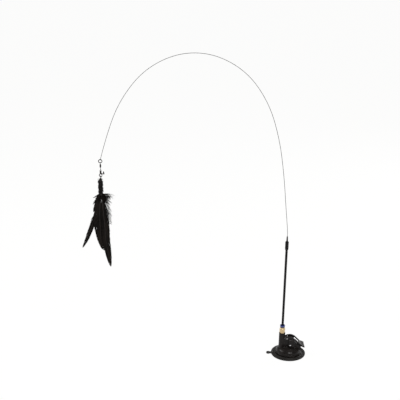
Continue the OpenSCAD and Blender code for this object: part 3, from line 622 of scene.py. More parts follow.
RELEASE_LOW, RELEASE_H, RELEASE_R = 13.2, 2.8, 4.8
SLEEVE_LOW, SLEEVE_R, SLEEVE_IN_R, SLEEVE_LIP_R = 8.65, 3.1, 2.55, 3.55
cap_outline = raised([
    (SLEEVE_R, 0.9), (RELEASE_R - 0.3, 0.9), (RELEASE_R - 0.16, 1.05), (RELEASE_R, 1.2),
    (RELEASE_R, RELEASE_H - 0.3), (RELEASE_R - 0.35, RELEASE_H), (3.5, RELEASE_H),
    (SLEEVE_IN_R, RELEASE_H - 1.4), (SLEEVE_IN_R, 0.9)], RELEASE_LOW)
# The flange is the ring's lower band, in the paler blue of a painted highlight
flange_outline = raised([
    (SLEEVE_IN_R, 0), (RELEASE_R - 0.25, 0), (RELEASE_R, 0.2), (RELEASE_R, 0.75),
    (RELEASE_R - 0.16, 0.88), (SLEEVE_IN_R, 0.88)], RELEASE_LOW)
# The sleeve below the cap is black instead of blue: painted shade for the recess under the ring
sleeve_outline = [
    (SLEEVE_IN_R, SLEEVE_LOW + 0.05), (SLEEVE_LIP_R, SLEEVE_LOW + 0.05), (SLEEVE_LIP_R, 10.25),
    (SLEEVE_R, 10.35), (SLEEVE_R, RELEASE_LOW - 0.02), (SLEEVE_IN_R, RELEASE_LOW - 0.02)]
for outline, name, slot_name in (
        (cap_outline, "release_cap_turned", "blue_plastic"),
        (flange_outline, "release_flange_turned", "blue_edge"),
        (sleeve_outline, "release_sleeve_turned", "sleeve_black")):
    piece(turned(outline, rounding=0.08, segments=72), name, slot_name, "release", ["release_ring"],
          wand_place)
# A black ring round the brass mouth is painted shade that darkens the gap under the flange
shade_ring_outline = [(3.75, 11.3), (4.46, 11.3), (4.52, 11.45), (4.52, 12.0), (4.3, 12.2), (3.75, 12.2)]
piece(turned(shade_ring_outline, rounding=0.06, segments=64), "mouth_painted_shade_ring", "sleeve_black", "base",
      ["fitting_body"], wand_place)

# %% [markdown]
# The rod is a drawn black rod with a longer dark sleeve at its upper end, and a
# tapered boot that eases the thin wire out of it. The rod is bored for the wire,
# and its ends are broken with a small chamfer.

# %% Rod, sleeve and boot
ROD_R, ROD_LOW, ROD_HIGH, WIRE_BORE_R, BORE_LOW = 2.25, -10.95, 186.0, 0.475, 174.0
rod_outline = [
    (0, ROD_LOW), (ROD_R - 0.3, ROD_LOW), (ROD_R, ROD_LOW + 0.3), (ROD_R, ROD_HIGH - 0.2),
    (ROD_R - 0.2, ROD_HIGH), (WIRE_BORE_R, ROD_HIGH), (WIRE_BORE_R, BORE_LOW), (0, BORE_LOW),
]
piece(turned(rod_outline, segments=48, closed=False), "rod_drawn", "rod_black", "wand", ["rod"],
      wand_place)
COLLAR_R, COLLAR_LOW, COLLAR_H, BOOT_R, BOOT_TIP_R = 3.25, 172.4, 16.0, 1.65, 1.2
COLLAR_HIGH = COLLAR_LOW + COLLAR_H
STEP_H = ROD_HIGH - COLLAR_LOW + 0.05
collar_outline = raised([
    (ROD_R + 0.05, 0), (COLLAR_R - 0.35, 0), (COLLAR_R, 0.35), (COLLAR_R, 1.6),
    (COLLAR_R - 0.15, 1.75), (COLLAR_R - 0.15, 2.1), (COLLAR_R, 2.25), (COLLAR_R, COLLAR_H - 0.7),
    (COLLAR_R - 0.7, COLLAR_H), (BOOT_R + 0.05, COLLAR_H), (BOOT_R + 0.05, STEP_H),
    (ROD_R + 0.05, STEP_H)], COLLAR_LOW)
piece(turned(collar_outline, rounding=0.1, segments=56), "rod_collar_turned", "sleeve_black",
      "wand", ["rod_collar"], wand_place)
BOOT_HIGH = 198.4
boot_outline = [(WIRE_BORE_R, ROD_HIGH + 0.1), (BOOT_R, ROD_HIGH + 0.1), (BOOT_R, COLLAR_HIGH)]
for ring_number in range(5):
    ring_low = COLLAR_HIGH + 0.8 + 1.5 * ring_number
    slope_r = BOOT_R - (BOOT_R - BOOT_TIP_R) * (ring_low - COLLAR_HIGH) / (BOOT_HIGH - COLLAR_HIGH)
    boot_outline += [(slope_r, ring_low), (slope_r - 0.18, ring_low + 0.2),
                     (slope_r - 0.18, ring_low + 0.5), (slope_r - 0.04, ring_low + 0.7)]
boot_outline += [(BOOT_TIP_R, BOOT_HIGH - 0.3), (BOOT_TIP_R - 0.25, BOOT_HIGH),
                 (WIRE_BORE_R, BOOT_HIGH)]
piece(turned(boot_outline, segments=40), "tip_boot_ribbed", "sleeve_black", "wand", ["tip_boot"],
      wand_place)

# %% [markdown]
# Wires, cords and quills are all one section carried along a path. The section is
# a ring of vertices that is extruded step by step, and the frame that carries it
# turns as little as it can, so that the section doesn't spin.

# %% A section carried along a path


def grown(bm, edges):
    """Extrudes open edges one step. Returns the new vertices and the new open edges."""
    made = bmesh.ops.extrude_edge_only(bm, edges=edges)["geom"]
    fresh = {v for v in made if isinstance(v, bmesh.types.BMVert)}
    return fresh, [e for e in made if isinstance(e, bmesh.types.BMEdge)
                   and e.verts[0] in fresh and e.verts[1] in fresh]


def carried_frames(path, first):
    """A tangent, a normal and the way across them for each point of a path."""
    last = len(path) - 1
    normal = Vector(first)
    frames = []
    for i in range(len(path)):
        tangent = (path[min(i + 1, last)] - path[max(i - 1, 0)]).normalized()
        normal = (normal - normal.dot(tangent) * tangent).normalized()
        frames.append((tangent, normal, tangent.cross(normal)))
    return frames


def swept(path, section, first=(0, 1, 0)):
    """Extrudes section(step) along the path, as pairs along the normal and across it."""
    bm = bmesh.new()
    corner_of = bm.verts.layers.int.new("corner")
    frames = carried_frames(path, first)

    def where(step, corner):
        along, over = section(step)[corner]
        return path[step] + along * frames[step][1] + over * frames[step][2]

    ring = []
    for corner in range(len(section(0))):
        vertex = bm.verts.new(where(0, corner))
        vertex[corner_of] = corner
        ring.append(vertex)
    edges = [bm.edges.new((ring[i], ring[(i + 1) % len(ring)])) for i in range(len(ring))]
    for step in range(1, len(path)):
        fresh, edges = grown(bm, edges)
        for vertex in fresh:
            vertex.co = where(step, vertex[corner_of])
    bm.faces.new(ring)
    bm.faces.new(sorted(fresh, key=lambda v: v[corner_of]))
    bmesh.ops.recalc_face_normals(bm, faces=bm.faces)
    return bm


def circle(radius, sides, swell=lambda angle: 1.0):
    """Points round a circle, each pushed in or out by swell(angle)."""
    angles = [2 * math.pi * i / sides for i in range(sides)]
    return [(radius * swell(a) * math.cos(a), radius * swell(a) * math.sin(a)) for a in angles]


def twisted_ply(radius, plies, sides, turn):
    """The section of a cord of several plies, turned by an angle."""
    return circle(radius, sides, lambda a: 0.86 + 0.14 * abs(math.cos(plies * (a - turn) / 2)) ** 0.7)


print("a three-ply section has", len(twisted_ply(1.0, 3, 12, 0)), "corners")

# %% [markdown]
# The spring wire leaves the boot, rises, and is bent over by its own spring and
# the lure's weight. Its curve is a row of arcs, each a share of the length and an
# angle, measured in the photograph. It ends in an eye. The CAD wire bends across
# its joint; this piece is one fixed shape, from inside the rod's bore to the eye.

# %% Spring wire
WIRE_LEN, WIRE_R, EYE_R = 696.0, 0.425, 1.9
WIRE_ARCS = [(0.03, 6.7), (0.09, -0.7), (0.1, 3.5), (0.1, 9.0), (0.1, 18.7),
             (0.12, 33.0), (0.12, 38.0), (0.12, 32.1), (0.12, 20.4), (0.1, 4.9)]


def heading_vector(heading):
    return Vector((-math.sin(math.radians(heading)), 0, math.cos(math.radians(heading))))


def walked(arcs, length, start, heading, reach):
    """Points along a row of arcs, in steps no longer than reach."""
    points, headings = [Vector(start)], [heading]
    for share, bend in arcs:
        count = max(1, math.ceil(share * length / reach), math.ceil(abs(bend) / 2.5))
        for _ in range(count):
            step, turn = share * length / count, bend / count
            points.append(points[-1] + step * heading_vector(headings[-1] + turn / 2))
            headings.append(headings[-1] + turn)
    return points, headings


boot_top = wand_place @ Vector((0, 0, BOOT_HIGH))
wire_points, wire_headings = walked(WIRE_ARCS, WIRE_LEN, boot_top, -WAND_LEAN, 6.0)
wire_down = heading_vector(wire_headings[-1])
eye_centre = wire_points[-1] + 1.25 * EYE_R * wire_down
eye_points = [
    eye_centre + EYE_R * (math.cos(turn) * Vector((0, 1, 0)) - math.sin(turn) * wire_down)
    for turn in (math.radians(a) for a in range(130, 404, 9))
]
wire_path = [wand_place @ Vector((0, 0, BORE_LOW + 0.3))] + wire_points + eye_points
wire_section = circle(WIRE_R, 12)
spring_wire = as_object(
    swept(wire_path, lambda step: wire_section), "spring_wire_drawn", "spring_steel")
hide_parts("wire")
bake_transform(spring_wire)
print("wire tip", [round(x, 2) for x in wire_points[-1]], "heading", wire_headings[-1])

# %% [markdown]
# Below the wire hangs fishing tackle: a split ring, a barrel swivel and a clasp,
# all in dark nickel. A split ring is one wire wound twice, so its piece is a
# flattened section carried round two turns, with a short step where the turns
# pass each other. The swivel's barrel is turned, with a groove near each end.

# %% Ring, swivel and clasp
LURE_X = -351.93
RING_Z, RING_R = 388.203, 3.1
COIL_APART, COIL_HALF_T, COIL_HALF_W = 0.35, 0.34, 0.68


def split_ring():
    turns, steps = 2, 120
    path = []
    for i in range(steps + 1):
        share = i / steps
        angle = 2 * math.pi * turns * share + math.radians(200)
        step_over = min(1.0, max(0.0, (share - 0.47) / 0.06))
        y = COIL_APART * (2 * step_over * step_over * (3 - 2 * step_over) - 1)
        path.append(Vector((LURE_X + RING_R * math.cos(angle), y, RING_Z + RING_R * math.sin(angle))))
    flat = [(math.copysign(COIL_HALF_T * abs(math.cos(t)) ** 0.6, math.cos(t)),
             COIL_HALF_W * math.sin(t)) for t in [math.pi * (k + 0.5) / 5 for k in range(10)]]
    return swept(path, lambda step: flat)


piece(split_ring(), "split_ring_wound", "nickel", "ring", ["split_ring"])

BARREL_LOW, BARREL_LEN, BARREL_R = 376.153, 6.5, 1.5
barrel_outline = [
    (0.46, 0.0), (0.85, 0.0), (1.1, 0.18), (1.42, 1.1), (BARREL_R, 1.35), (BARREL_R, 1.9),
    (1.33, 2.05), (1.33, 2.3), (BARREL_R, 2.45), (BARREL_R, BARREL_LEN / 2),
]
barrel_outline += [(r, BARREL_LEN - z) for r, z in reversed(barrel_outline)]
barrel_outline += [(0.46, BARREL_LEN - 1.2), (1.0, BARREL_LEN - 1.2), (1.0, 1.2), (0.46, 1.2)]
piece(turned(barrel_outline, segments=48), "swivel_barrel_turned", "nickel", "barrel",
      ["swivel_barrel"], Matrix.Translation((LURE_X, 0, BARREL_LOW)))
kept("swivel_top_eye", "nickel")
kept("swivel_bottom_eye", "nickel")
moulded("clasp_body", "nickel", "clasp", 0.055, 3)
moulded("clasp_gate", "nickel", "gate", 0.05, 3)
kept("clasp_rivet", "bright_steel")
kept("clasp_spring", "bright_steel")

# %% [markdown]
# The lure is bound with black thread round a bundle of quills. The bundle is one
# lobed section that twists a little as it runs down, the thread is a three-ply
# cord wound sixteen times, and the loop above it is the same cord.

# %% Binding
LOOP_TOP, LOOP_R, LOOP_CORD_R = 360.603, 1.65, 0.6
CORE_X, CORE_LOW, CORE_HIGH, CORE_R = -352.93, 324.553, 356.553, 3.2
THREAD_R, THREAD_TURNS, THREAD_PITCH = 0.625, 16, 1.8
BUNDLE_STEPS, THREAD_STEPS = 24, 26


def quill_bundle():
    path = [Vector((CORE_X, 0, CORE_LOW + (CORE_HIGH - CORE_LOW) * i / BUNDLE_STEPS))
            for i in range(BUNDLE_STEPS + 1)]

    def section(step):
        ends = min(1.0, 0.72 + 0.84 * math.sin(math.pi * step / BUNDLE_STEPS))
        ends -= 0.42 * max(0.0, (step - 20) / 4)
        return circle(CORE_R * ends, 54, lambda a: 0.90 + 0.10 * abs(math.cos(4.5 * (a - 0.02 * step))))

    return swept(path, section, first=(1, 0, 0))


def thread_winding():
    steps = THREAD_STEPS * THREAD_TURNS
    start_z = CORE_LOW + (CORE_HIGH - CORE_LOW - THREAD_TURNS * THREAD_PITCH) / 2
    path = []
    for i in range(-1, steps + 2):
        angle = 2 * math.pi * i / THREAD_STEPS
        wander = 0.22 * math.sin(angle * 0.61 + 1.3) + 0.14 * math.sin(angle * 1.37)
        bulge = 0.40 * math.sin(angle * 0.31 + 2.0) + 0.34 * math.sin(angle * 0.83)
        ends = 0.6 * max(0.0, 1.0 - i / 30) + 2.4 * max(0.0, 1.0 - (steps - i) / 62)
        radius = CORE_R + THREAD_R + 0.03 + bulge - ends
        path.append(Vector((CORE_X + radius * math.cos(angle), radius * math.sin(angle),
                            start_z + THREAD_PITCH * i / THREAD_STEPS + wander)))
    return swept(path, lambda step: twisted_ply(THREAD_R * 1.18, 3, 12, 0.42 * step),
                 first=(0, 0, 1))


def cord_loop():
    foot_z, legs_z = CORE_HIGH - 1.2, LOOP_TOP - LOOP_R
    heights = [foot_z + (legs_z - foot_z) * i / 6 for i in range(6)]
    arch = [Vector((LURE_X, -LOOP_R * math.cos(turn), legs_z + LOOP_R * math.sin(turn)))
            for turn in (math.pi * i / 20 for i in range(21))]
    path = [Vector((LURE_X, -LOOP_R, z)) for z in heights] + arch
    path += [Vector((LURE_X, LOOP_R, z)) for z in reversed(heights)]
    return swept(path, lambda step: twisted_ply(LOOP_CORD_R, 3, 14, 0.3 * step), first=(1, 0, 0))


for maker, name, slot_name, node in (
        (quill_bundle, "quill_bundle", "quill", "quill_core"),
        (thread_winding, "thread_winding", "black_thread", "binding_thread"),
        (cord_loop, "twisted_cord_loop", "black_thread", "cord_loop")):
    piece(maker(), name, slot_name, "lure", [node])

# %% [markdown]
# Five feathers hang from the binding. Each is listed with where its quill leaves
# the bundle, as shares of the bundle's radius, the arcs that its shaft follows,
# how wide its vane is and how much of that is at the left, and how ragged it is.
# The lengths and arcs are those of the CAD solids.

# %% The feathers and their shafts
FEATHERS = {
    "long_feather": dict(root=(0.6, -0.72), length=140, arcs=((0.5, 0), (0.22, 3), (0.28, 6)),
                         heading=3, splay=-0.03, width=17, left=0.42, bare=0.06, blunt=0.55,
                         rise=0.5, pitch=0.27, splits=7, loose=(0.04, 0.12), twist=0, curl=-0.5),
    "broad_feather": dict(root=(-0.22, -0.44), length=109, arcs=((0.35, 2), (0.35, 8), (0.3, 12)),
                          heading=-5, splay=-0.012, width=22, left=0.59, bare=0.08, blunt=0.5,
                          pitch=0.27, splits=6, loose=(0.03, 0.05), twist=0, curl=0.6),
    "slim_feather": dict(root=(-0.6, 0.44), length=112, arcs=((0.5, -4), (0.5, -11)),
                         heading=-13.5, splay=0.02, width=10, left=0.5, bare=0.35, blunt=0.6,
                         rise=0.16, pitch=0.28, splits=8, loose=(0.16, 0.06), twist=15, curl=0.4),
    "side_feather": dict(root=(-0.62, 0.14), length=36, arcs=((0.5, -3), (0.5, 4)),
                         heading=-20, splay=0.008, width=8, left=0.5, bare=0.1, blunt=0.6,
                         pitch=0.28, splits=5, loose=(0.16, 0.10), twist=10, curl=0.5),
    "back_feather": dict(root=(0.35, 0.74), length=92, arcs=((0.5, -4), (0.5, 0)),
                         heading=9, splay=0.045, width=13, left=0.45, bare=0.06, blunt=0.7,
                         pitch=0.30, splits=9, loose=(0.10, 0.34), twist=5, curl=0.3),
}
VANE_RISE, QUILL_R, TILE, BARB_THICK = 0.35, 0.4, 0.05, 0.09


class Shaft:
    """The line of a feather's shaft, read at any distance from its root."""

    def __init__(self, spec):
        self.spec = spec
        slant = QUILL_R * abs(math.sin(math.radians(spec["heading"])))
        start = Vector((CORE_X + spec["root"][0] * CORE_R, 0, CORE_LOW - slant))
        self.points, self.headings = walked(
            spec["arcs"], spec["length"], start, 180 + spec["heading"], 1.0)
        self.at_length = [0.0]
        for here, there in zip(self.points, self.points[1:]):
            self.at_length.append(self.at_length[-1] + (there - here).length)
        self.start = start

    def read(self, distance):
        """The point, the way to the barbs' side and the way out of the vane's face."""
        last = len(self.points) - 2
        step = min(last, max(0, int(distance / self.at_length[-1] * (last + 1))))
        share = (distance - self.at_length[step]) / (self.at_length[step + 1] - self.at_length[step])
        point = self.points[step].lerp(self.points[step + 1], share)
        heading = self.headings[step] + (self.headings[step + 1] - self.headings[step]) * share
        tangent = heading_vector(heading)
        point.y = self.spec["root"][1] * CORE_R + self.spec["splay"] * (self.start.z - point.z)
        turn = math.radians(self.spec["twist"]) * (distance / self.spec["length"]) ** 1.5
        face = Vector((0, 1, 0))
        side = tangent.cross(face)
        return point, math.cos(turn) * side + math.sin(turn) * face, \
            math.cos(turn) * face - math.sin(turn) * side

    def vane(self, distance):
        """Share of the full width at a distance from the root."""
        spec = self.spec
        along = (distance / spec["length"] - spec["bare"]) / (1 - spec["bare"])
        if along <= 0 or along >= 1:
            return 0.0
        rise = spec.get("rise", VANE_RISE)
        return min(1.0, along / rise) ** 0.6 * (1 - along ** 3) ** spec["blunt"]


print("the long feather ends at", [round(x, 1) for x in Shaft(FEATHERS["long_feather"]).points[-1]])

# %% [markdown]
# A feather is a horn shaft with barbs on both sides. A flat card with a picture
# of barbs would be quicker, but its edge would be too clean, so every barb here
# is a thin strip of its own. It leaves the shaft steeply and bends towards the
# tip. Barbs in one group are drawn together, so the vane splits between groups
# as a real one does, and a few stray out of the surface.

# %% Where each barb lies
BARB_ROWS, LAST_TIP = 6, 0.9995


def barb_plan(shaft, side, draw):
    """For each barb: its root, where its tip lies, its tone and how far it strays."""
    spec, length = shaft.spec, shaft.spec["length"]
    half = spec["width"] * (spec["left"] if side < 0 else 1 - spec["left"])
    first = spec["bare"] * length
    count = int((length * 0.992 - first) / spec["pitch"])
    cuts = sorted(draw.uniform(0.12, 0.97) for _ in range(spec["splits"])) + [1.01]
    pulls = [draw.uniform(0.12, 0.5) for _ in cuts]
    widths = [draw.uniform(0.90, 1.04) for _ in cuts]
    plan = []
    for i in range(count):
        share = i / count
        group = next(k for k, cut in enumerate(cuts) if share < cut)
        low = cuts[group - 1] if group else 0.0
        middle = (low + min(cuts[group], 1.0)) / 2
        root = first + i * spec["pitch"]
        reach = half * max(shaft.vane(root), 0.10)
        tip = min(root + reach * 1.15 + 0.8, length * LAST_TIP)
        drawn_to = first + middle * (length - first) + reach
        strays = spec["loose"][side > 0] * (1.6 if share < 0.3 else 0.8)
        edge = abs(share - middle) * (length - first) / max(reach, 1.0)
        pull = pulls[group] * min(1.0, edge) * 0.26
        tip += (drawn_to - tip) * pull * 0.5 + draw.gauss(0, strays * 2.2)
        tip = max(root + 0.4, min(tip, length * LAST_TIP))
        wide = half * shaft.vane(tip) * widths[group]
        wide *= 1.0 - abs(draw.gauss(0, 0.015 + strays * 0.5))
        tone = min(1.0, max(0.0, 0.35 + 0.25 * math.sin(0.11 * root + side) + draw.gauss(0, 0.2)))
        plan.append(dict(root=root, tip=tip, wide=max(wide, 0.25), tone=tone,
                         lift=draw.gauss(0, 0.08 + strays * 1.5), phase=draw.uniform(0, 6.28)))
    return plan


def barb_point(shaft, side, barb, row, edge):
    spec = shaft.spec
    share = row / BARB_ROWS
    knee = barb["root"] + 0.30 * (barb["tip"] - barb["root"])
    along = (1 - share) ** 2 * barb["root"] + 2 * share * (1 - share) * knee + share ** 2 * barb["tip"]
    out = 2 * share * (1 - share) * 0.62 * barb["wide"] + share ** 2 * barb["wide"]
    half_strip = spec["pitch"] * (0.85 + 1.1 * share) * edge
    if row == BARB_ROWS:
        half_strip *= 0.5
    point, across_way, face = shaft.read(min(along + half_strip, spec["length"]))
    camber = spec["curl"] * (out / spec["width"]) ** 2 * spec["width"] * 0.5
    stray = barb["lift"] * share ** 2
    return point + side * out * across_way + (camber + TILE * edge + stray) * face


print("rows in a barb", BARB_ROWS)

# %% [markdown]
# The root edges of all barbs are laid along the shaft first. They are extruded
# together, row by row, and each new row is put on its barb's curve. Neighbouring
# strips overlap like tiles and make the vane. The shaft is a tapering section
# swept along the same line.

# %% Vanes and shafts


def vane(shaft, draw):
    bm = bmesh.new()
    barb_of = bm.verts.layers.int.new("barb")
    edge_of = bm.verts.layers.int.new("edge")
    tone_of = bm.verts.layers.float.new("barb_tone")
    plans = [(side, barb) for side in (-1, 1) for barb in barb_plan(shaft, side, draw)]
    edges = []
    for number, (side, barb) in enumerate(plans):
        ends = []
        for edge in (-1, 1):
            vertex = bm.verts.new(barb_point(shaft, side, barb, 0, edge))
            vertex[barb_of], vertex[edge_of], vertex[tone_of] = number, edge, barb["tone"]
            ends.append(vertex)
        edges.append(bm.edges.new(ends))
    for row in range(1, BARB_ROWS + 1):
        fresh, edges = grown(bm, edges)
        for vertex in fresh:
            side, barb = plans[vertex[barb_of]]
            vertex.co = barb_point(shaft, side, barb, row, vertex[edge_of])
            vertex[tone_of] = min(1.0, barb["tone"] + 0.12 * math.sin(2.2 * row + barb["phase"]))
    return bm


def shaft_tube(shaft):
    spec = shaft.spec
    count = max(24, int(spec["length"] / 2.5))
    path = [shaft.read(spec["length"] * 0.985 * i / count)[0] for i in range(count + 1)]
    path[0].z += 0.6

    def section(step):
        radius = QUILL_R * (1 - 0.80 * step / count)
        return [(1.25 * a, b) for a, b in circle(radius, 8)]

    return swept(path, section)


for name, spec in FEATHERS.items():
    shaft = Shaft(spec)
    barbs = piece(vane(shaft, random.Random(name)), name + "_barbs", "feather", "lure", [name])
    thick = barbs.modifiers.new("barb_thickness", "SOLIDIFY")
    thick.thickness = BARB_THICK * MM
    thick.offset = 0.0
    piece(shaft_tube(shaft), name + "_shaft", "quill", "lure", [name])

# %% [markdown]
# Down grows where the quills meet the binding. Each strand is a three-sided hair
# that tapers and curls, because thousands of them are needed and more sides would
# not show. All strands grow together, one extrusion for each step of their length.

# %% Hairs
HAIR_STEPS, HAIR_TAPER, HAIR_SIDES = 6, 0.8, 3


def hairs(plan):
    """Hairs from a plan that gives each its root, way, length, curl, pull, radius and tone."""
    bm = bmesh.new()
    hair_of = bm.verts.layers.int.new("hair")
    corner_of = bm.verts.layers.int.new("corner")
    tone_of = bm.verts.layers.float.new("barb_tone")
    paths = []
    for hair in plan:
        points, way = [Vector(hair["root"])], Vector(hair["way"]).normalized()
        for step in range(HAIR_STEPS):
            bend = hair["curl"] * (0.4 + step / HAIR_STEPS)
            way = (way + bend * Vector(hair["pull"])).normalized()
            points.append(points[-1] + way * hair["length"] / HAIR_STEPS)
        paths.append((points, carried_frames(points, (0.13, 0.97, 0.21))))

    def where(number, corner, step):
        points, frames = paths[number]
        radius = plan[number]["thick"] * (1 - HAIR_TAPER * step / HAIR_STEPS)
        angle = 2 * math.pi * corner / HAIR_SIDES
        off = math.cos(angle) * frames[step][1] + math.sin(angle) * frames[step][2]
        return points[step] + radius * off

    edges = []
    for number, hair in enumerate(plan):
        ring = []
        for corner in range(HAIR_SIDES):
            vertex = bm.verts.new(where(number, corner, 0))
            vertex[hair_of], vertex[corner_of], vertex[tone_of] = number, corner, hair["tone"]
            ring.append(vertex)
        bm.faces.new(ring)
        edges += [bm.edges.get((ring[i - 1], ring[i])) for i in range(HAIR_SIDES)]
    for step in range(1, HAIR_STEPS + 1):
        fresh, edges = grown(bm, edges)
        for vertex in fresh:
            vertex.co = where(vertex[hair_of], vertex[corner_of], step)
    bmesh.ops.holes_fill(bm, edges=edges, sides=HAIR_SIDES)
    bmesh.ops.recalc_face_normals(bm, faces=bm.faces)
    return bm


def soft_tone():
    """Mostly dark, with a few paler hairs."""
    return rng.uniform(0.0, 1.0) ** 1.6


print("steps in a hair", HAIR_STEPS)

# %% [markdown]
# In the photograph a curled plume stands out to the right of the binding's foot.
# It has a shaft of its own with soft barbs. Loose hairs alone would make an even
# grey cloud, so most of them are gathered in wisps, which end in a point and let
# the background through between them. The lower wisps are the fullest.

# %% Plume
PLUME = dict(root=(0.56, -0.16), length=24, arcs=((0.3, 25), (0.4, -2), (0.3, -25)), heading=62,
             splay=0, twist=0)
plume_shaft = Shaft(PLUME)
plume_plan = []
LOOSE_HAIRS = 350
for _ in range(LOOSE_HAIRS):
    distance = PLUME["length"] * (0.02 + 0.55 * rng.uniform(0.0, 1.0) ** 1.2)
    point, across_way, face = plume_shaft.read(distance)
    onward = (plume_shaft.read(distance + 0.5)[0] - point).normalized()
    side = 1 if rng.random() < 0.12 else -1
    sweep = rng.uniform(0.10, 0.30) if side > 0 else rng.uniform(0.5, 1.9)
    plume_plan.append(dict(
        root=point + Vector((0, rng.gauss(0, 0.9), rng.gauss(-0.5, 0.5))),
        way=onward + side * across_way * sweep + face * rng.gauss(0, 0.35),
        length=rng.uniform(3.5, 7.5), curl=rng.uniform(0.03, 0.2),
        pull=(rng.gauss(0.0, 0.35), rng.gauss(0, 0.4), rng.gauss(-0.6, 0.4)),
        thick=rng.uniform(0.06, 0.10), tone=soft_tone()))


def binding_foot(x, y, z):
    return Vector((CORE_X + x, y, CORE_LOW + z))


def wisp(count, root, tip, sag=0.10, wide=0.9, deep=1.2, thick=(0.08, 0.14), least=0.55):
    """Hairs that end together in one drooping point, in X and Z from the binding's foot."""
    plan = []
    for _ in range(count):
        start = binding_foot(
            root[0] + rng.gauss(0, wide), rng.gauss(0, deep), root[1] + rng.gauss(0, wide))
        end = binding_foot(tip[0], 0, tip[1]) + Vector([rng.gauss(0, 0.35) for _ in range(3)])
        line = end - start
        plan.append(dict(
            root=start, way=line.normalized() + Vector((0, 0, 2.4 * sag)), pull=(0, 0, -1.0), curl=sag,
            length=line.length * (least + (1.04 - least) * rng.uniform(0.0, 1.0) ** (1.55 - least)),
            thick=rng.uniform(*thick), tone=soft_tone()))
    return plan


# The plume is a fan of drooping wisps, from level round to steeply down. Each row
# gives the turn in degrees, the reach, the hairs and the least share of the reach.
for number, (turn, reach, count, least) in enumerate((
        (-10, 23.6, 34, 0.25), (-15, 18.5, 34, 0.20), (-21, 20.5, 30, 0.20), (-27, 23.8, 26, 0.15),
        (-32, 18.0, 40, 0.25), (-38, 20.0, 40, 0.25), (-44, 18.0, 60, 0.45), (-50, 23.4, 90, 0.70),
        (-55, 20.0, 70, 0.45), (-60, 25.4, 90, 0.70), (-66, 21.0, 60, 0.45), (-71, 24.5, 64, 0.50))):
    turn = math.radians(turn)
    root = (3.0 + 0.1 * number, 0.4 - 0.7 * number)
    tip = (3.5 + reach * math.cos(turn), 1.2 + reach * math.sin(turn))
    plume_plan += wisp(count, root, tip, sag=0.20 - 0.013 * number, wide=0.5, least=least)
    for _ in range(2):
        share, off = rng.uniform(0.35, 0.62), rng.uniform(-1.2, 1.2)
        near = (root[0] + share * (tip[0] - root[0]), root[1] + share * (tip[1] - root[1]) + off)
        plume_plan += wisp(60, root, near, sag=0.16 - 0.011 * number, wide=0.7, least=0.35)
piece(hairs(plume_plan), "down_plume_hairs", "down", "lure", ["down_plume"])
piece(shaft_tube(plume_shaft), "down_plume_shaft", "quill", "lure", ["down_plume"])

# %% [markdown]
# Shorter tufts break the outline at the left, under the binding's foot, and fine
# barbs have come loose along the right edge of the back feather. Both are wisps
# of the same hairs, and the tufts have loose hairs round their roots as well.

# %% Tufts and loose edge


def tuft(count, low, high, way, spread, length, pull, thick=(0.05, 0.09)):
    """Loose hairs with roots between two corners, measured from the binding's foot."""
    plan = []
    for _ in range(count):
        root = binding_foot(*[rng.uniform(a, b) for a, b in zip(low, high)])
        plan.append(dict(
            root=root, way=[a + rng.gauss(0, spread) for a in way], length=rng.uniform(*length),
            curl=rng.uniform(0.02, 0.22), pull=[a + rng.gauss(0, 0.45) for a in pull],
            thick=rng.uniform(*thick), tone=soft_tone()))
    return plan


foot_plan = tuft(900, (-3.4, -2.6, -2.5), (3.4, 2.6, 1.5), (0.0, 0.0, -1.0), 0.28, (7.0, 15.0),
                 (0, 0, 0))
foot_plan += tuft(500, (1.0, -2.0, -9.0), (4.0, 2.5, 1.0), (0.9, 0.0, -0.85), 0.30, (4.0, 8.0),
                  (0, 0, -0.5), (0.06, 0.10))
for count, root, tip in (
        (160, (-3.0, 0.6), (-11.6, -5.4)), (60, (-3.6, 0.0), (-14.6, -6.4)),
        (130, (-3.2, -1.2), (-10.6, -8.2)), (200, (-3.6, -4.0), (-14.0, -14.4)),
        (80, (-4.4, -7.6), (-15.6, -18.6)), (160, (-4.4, -7.0), (-13.6, -17.4))):
    foot_plan += wisp(count, root, tip, sag=0.04, wide=0.7, thick=(0.10, 0.16), least=0.7)
piece(hairs(foot_plan), "down_foot_tufts", "down", "lure", ["back_feather"])

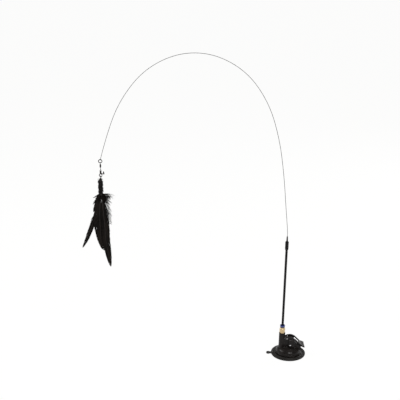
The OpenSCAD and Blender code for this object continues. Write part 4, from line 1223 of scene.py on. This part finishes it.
EDGE = [(5.6, -10), (8.6, -17), (10.8, -23), (12.0, -30), (12.8, -36), (13.4, -42), (14.0, -48),
        (14.6, -55)]
EDGE_WISPS = 15
edge_plan = []
for number in range(EDGE_WISPS):
    here, share = divmod(number / 2, 1)
    low, high = EDGE[int(here)], EDGE[min(int(here) + 1, len(EDGE) - 1)]
    root = [a + share * (b - a) for a, b in zip(low, high)]
    over = (9.4 - 0.40 * number) * rng.uniform(0.78, 1.10)
    tip = (root[0] + over, root[1] - over * rng.uniform(0.85, 1.15))
    edge_plan += wisp(60, root, tip, sag=0.05, wide=0.22, deep=0.6, thick=(0.10, 0.16), least=0.3)
piece(hairs(edge_plan), "loose_edge_barbs", "down", "lure", ["back_feather"])

# %% [markdown]
# The thread is frayed. A short fuzz stands all over it, and some longer ends lie
# on it, which breaks the outline of the binding in small steps.

# %% Fuzz on the thread
CORE_H = CORE_HIGH - CORE_LOW
SHORT_ENDS, LONG_ENDS = 1100, 44


def on_binding(low, high, proud):
    """A seeded place on the thread, and the way out of it."""
    angle, height = rng.uniform(0, 2 * math.pi), rng.uniform(low, high)
    out = Vector((math.cos(angle), math.sin(angle), 0))
    return Vector((CORE_X, 0, CORE_LOW + height)) + (CORE_R + proud) * out, out


fuzz_plan = []
for _ in range(SHORT_ENDS):
    root, out = on_binding(0.5, CORE_H - 0.5, 0.9)
    fuzz_plan.append(dict(
        root=root, way=out * rng.uniform(0.3, 1.0) + Vector(
            (rng.gauss(0, 0.5), rng.gauss(0, 0.5), rng.gauss(-0.4, 0.6))),
        length=rng.uniform(0.8, 2.2), curl=rng.uniform(0.1, 0.4),
        pull=[rng.gauss(0, 0.6) for _ in range(3)], thick=rng.uniform(0.03, 0.06),
        tone=rng.uniform(0.0, 0.8)))
for _ in range(LONG_ENDS):
    root, out = on_binding(3.0, CORE_H - 8.0, 0.7)
    fuzz_plan.append(dict(
        root=root, way=out * 0.7 + Vector((0, 0, rng.gauss(-0.6, 0.6))), length=rng.uniform(1.8, 3.4),
        curl=0.3, pull=(rng.gauss(0, 0.6), rng.gauss(0, 0.6), -0.5), thick=rng.uniform(0.14, 0.22),
        tone=0.1))
piece(hairs(fuzz_plan), "thread_fuzz", "down", "lure", ["binding_thread"])
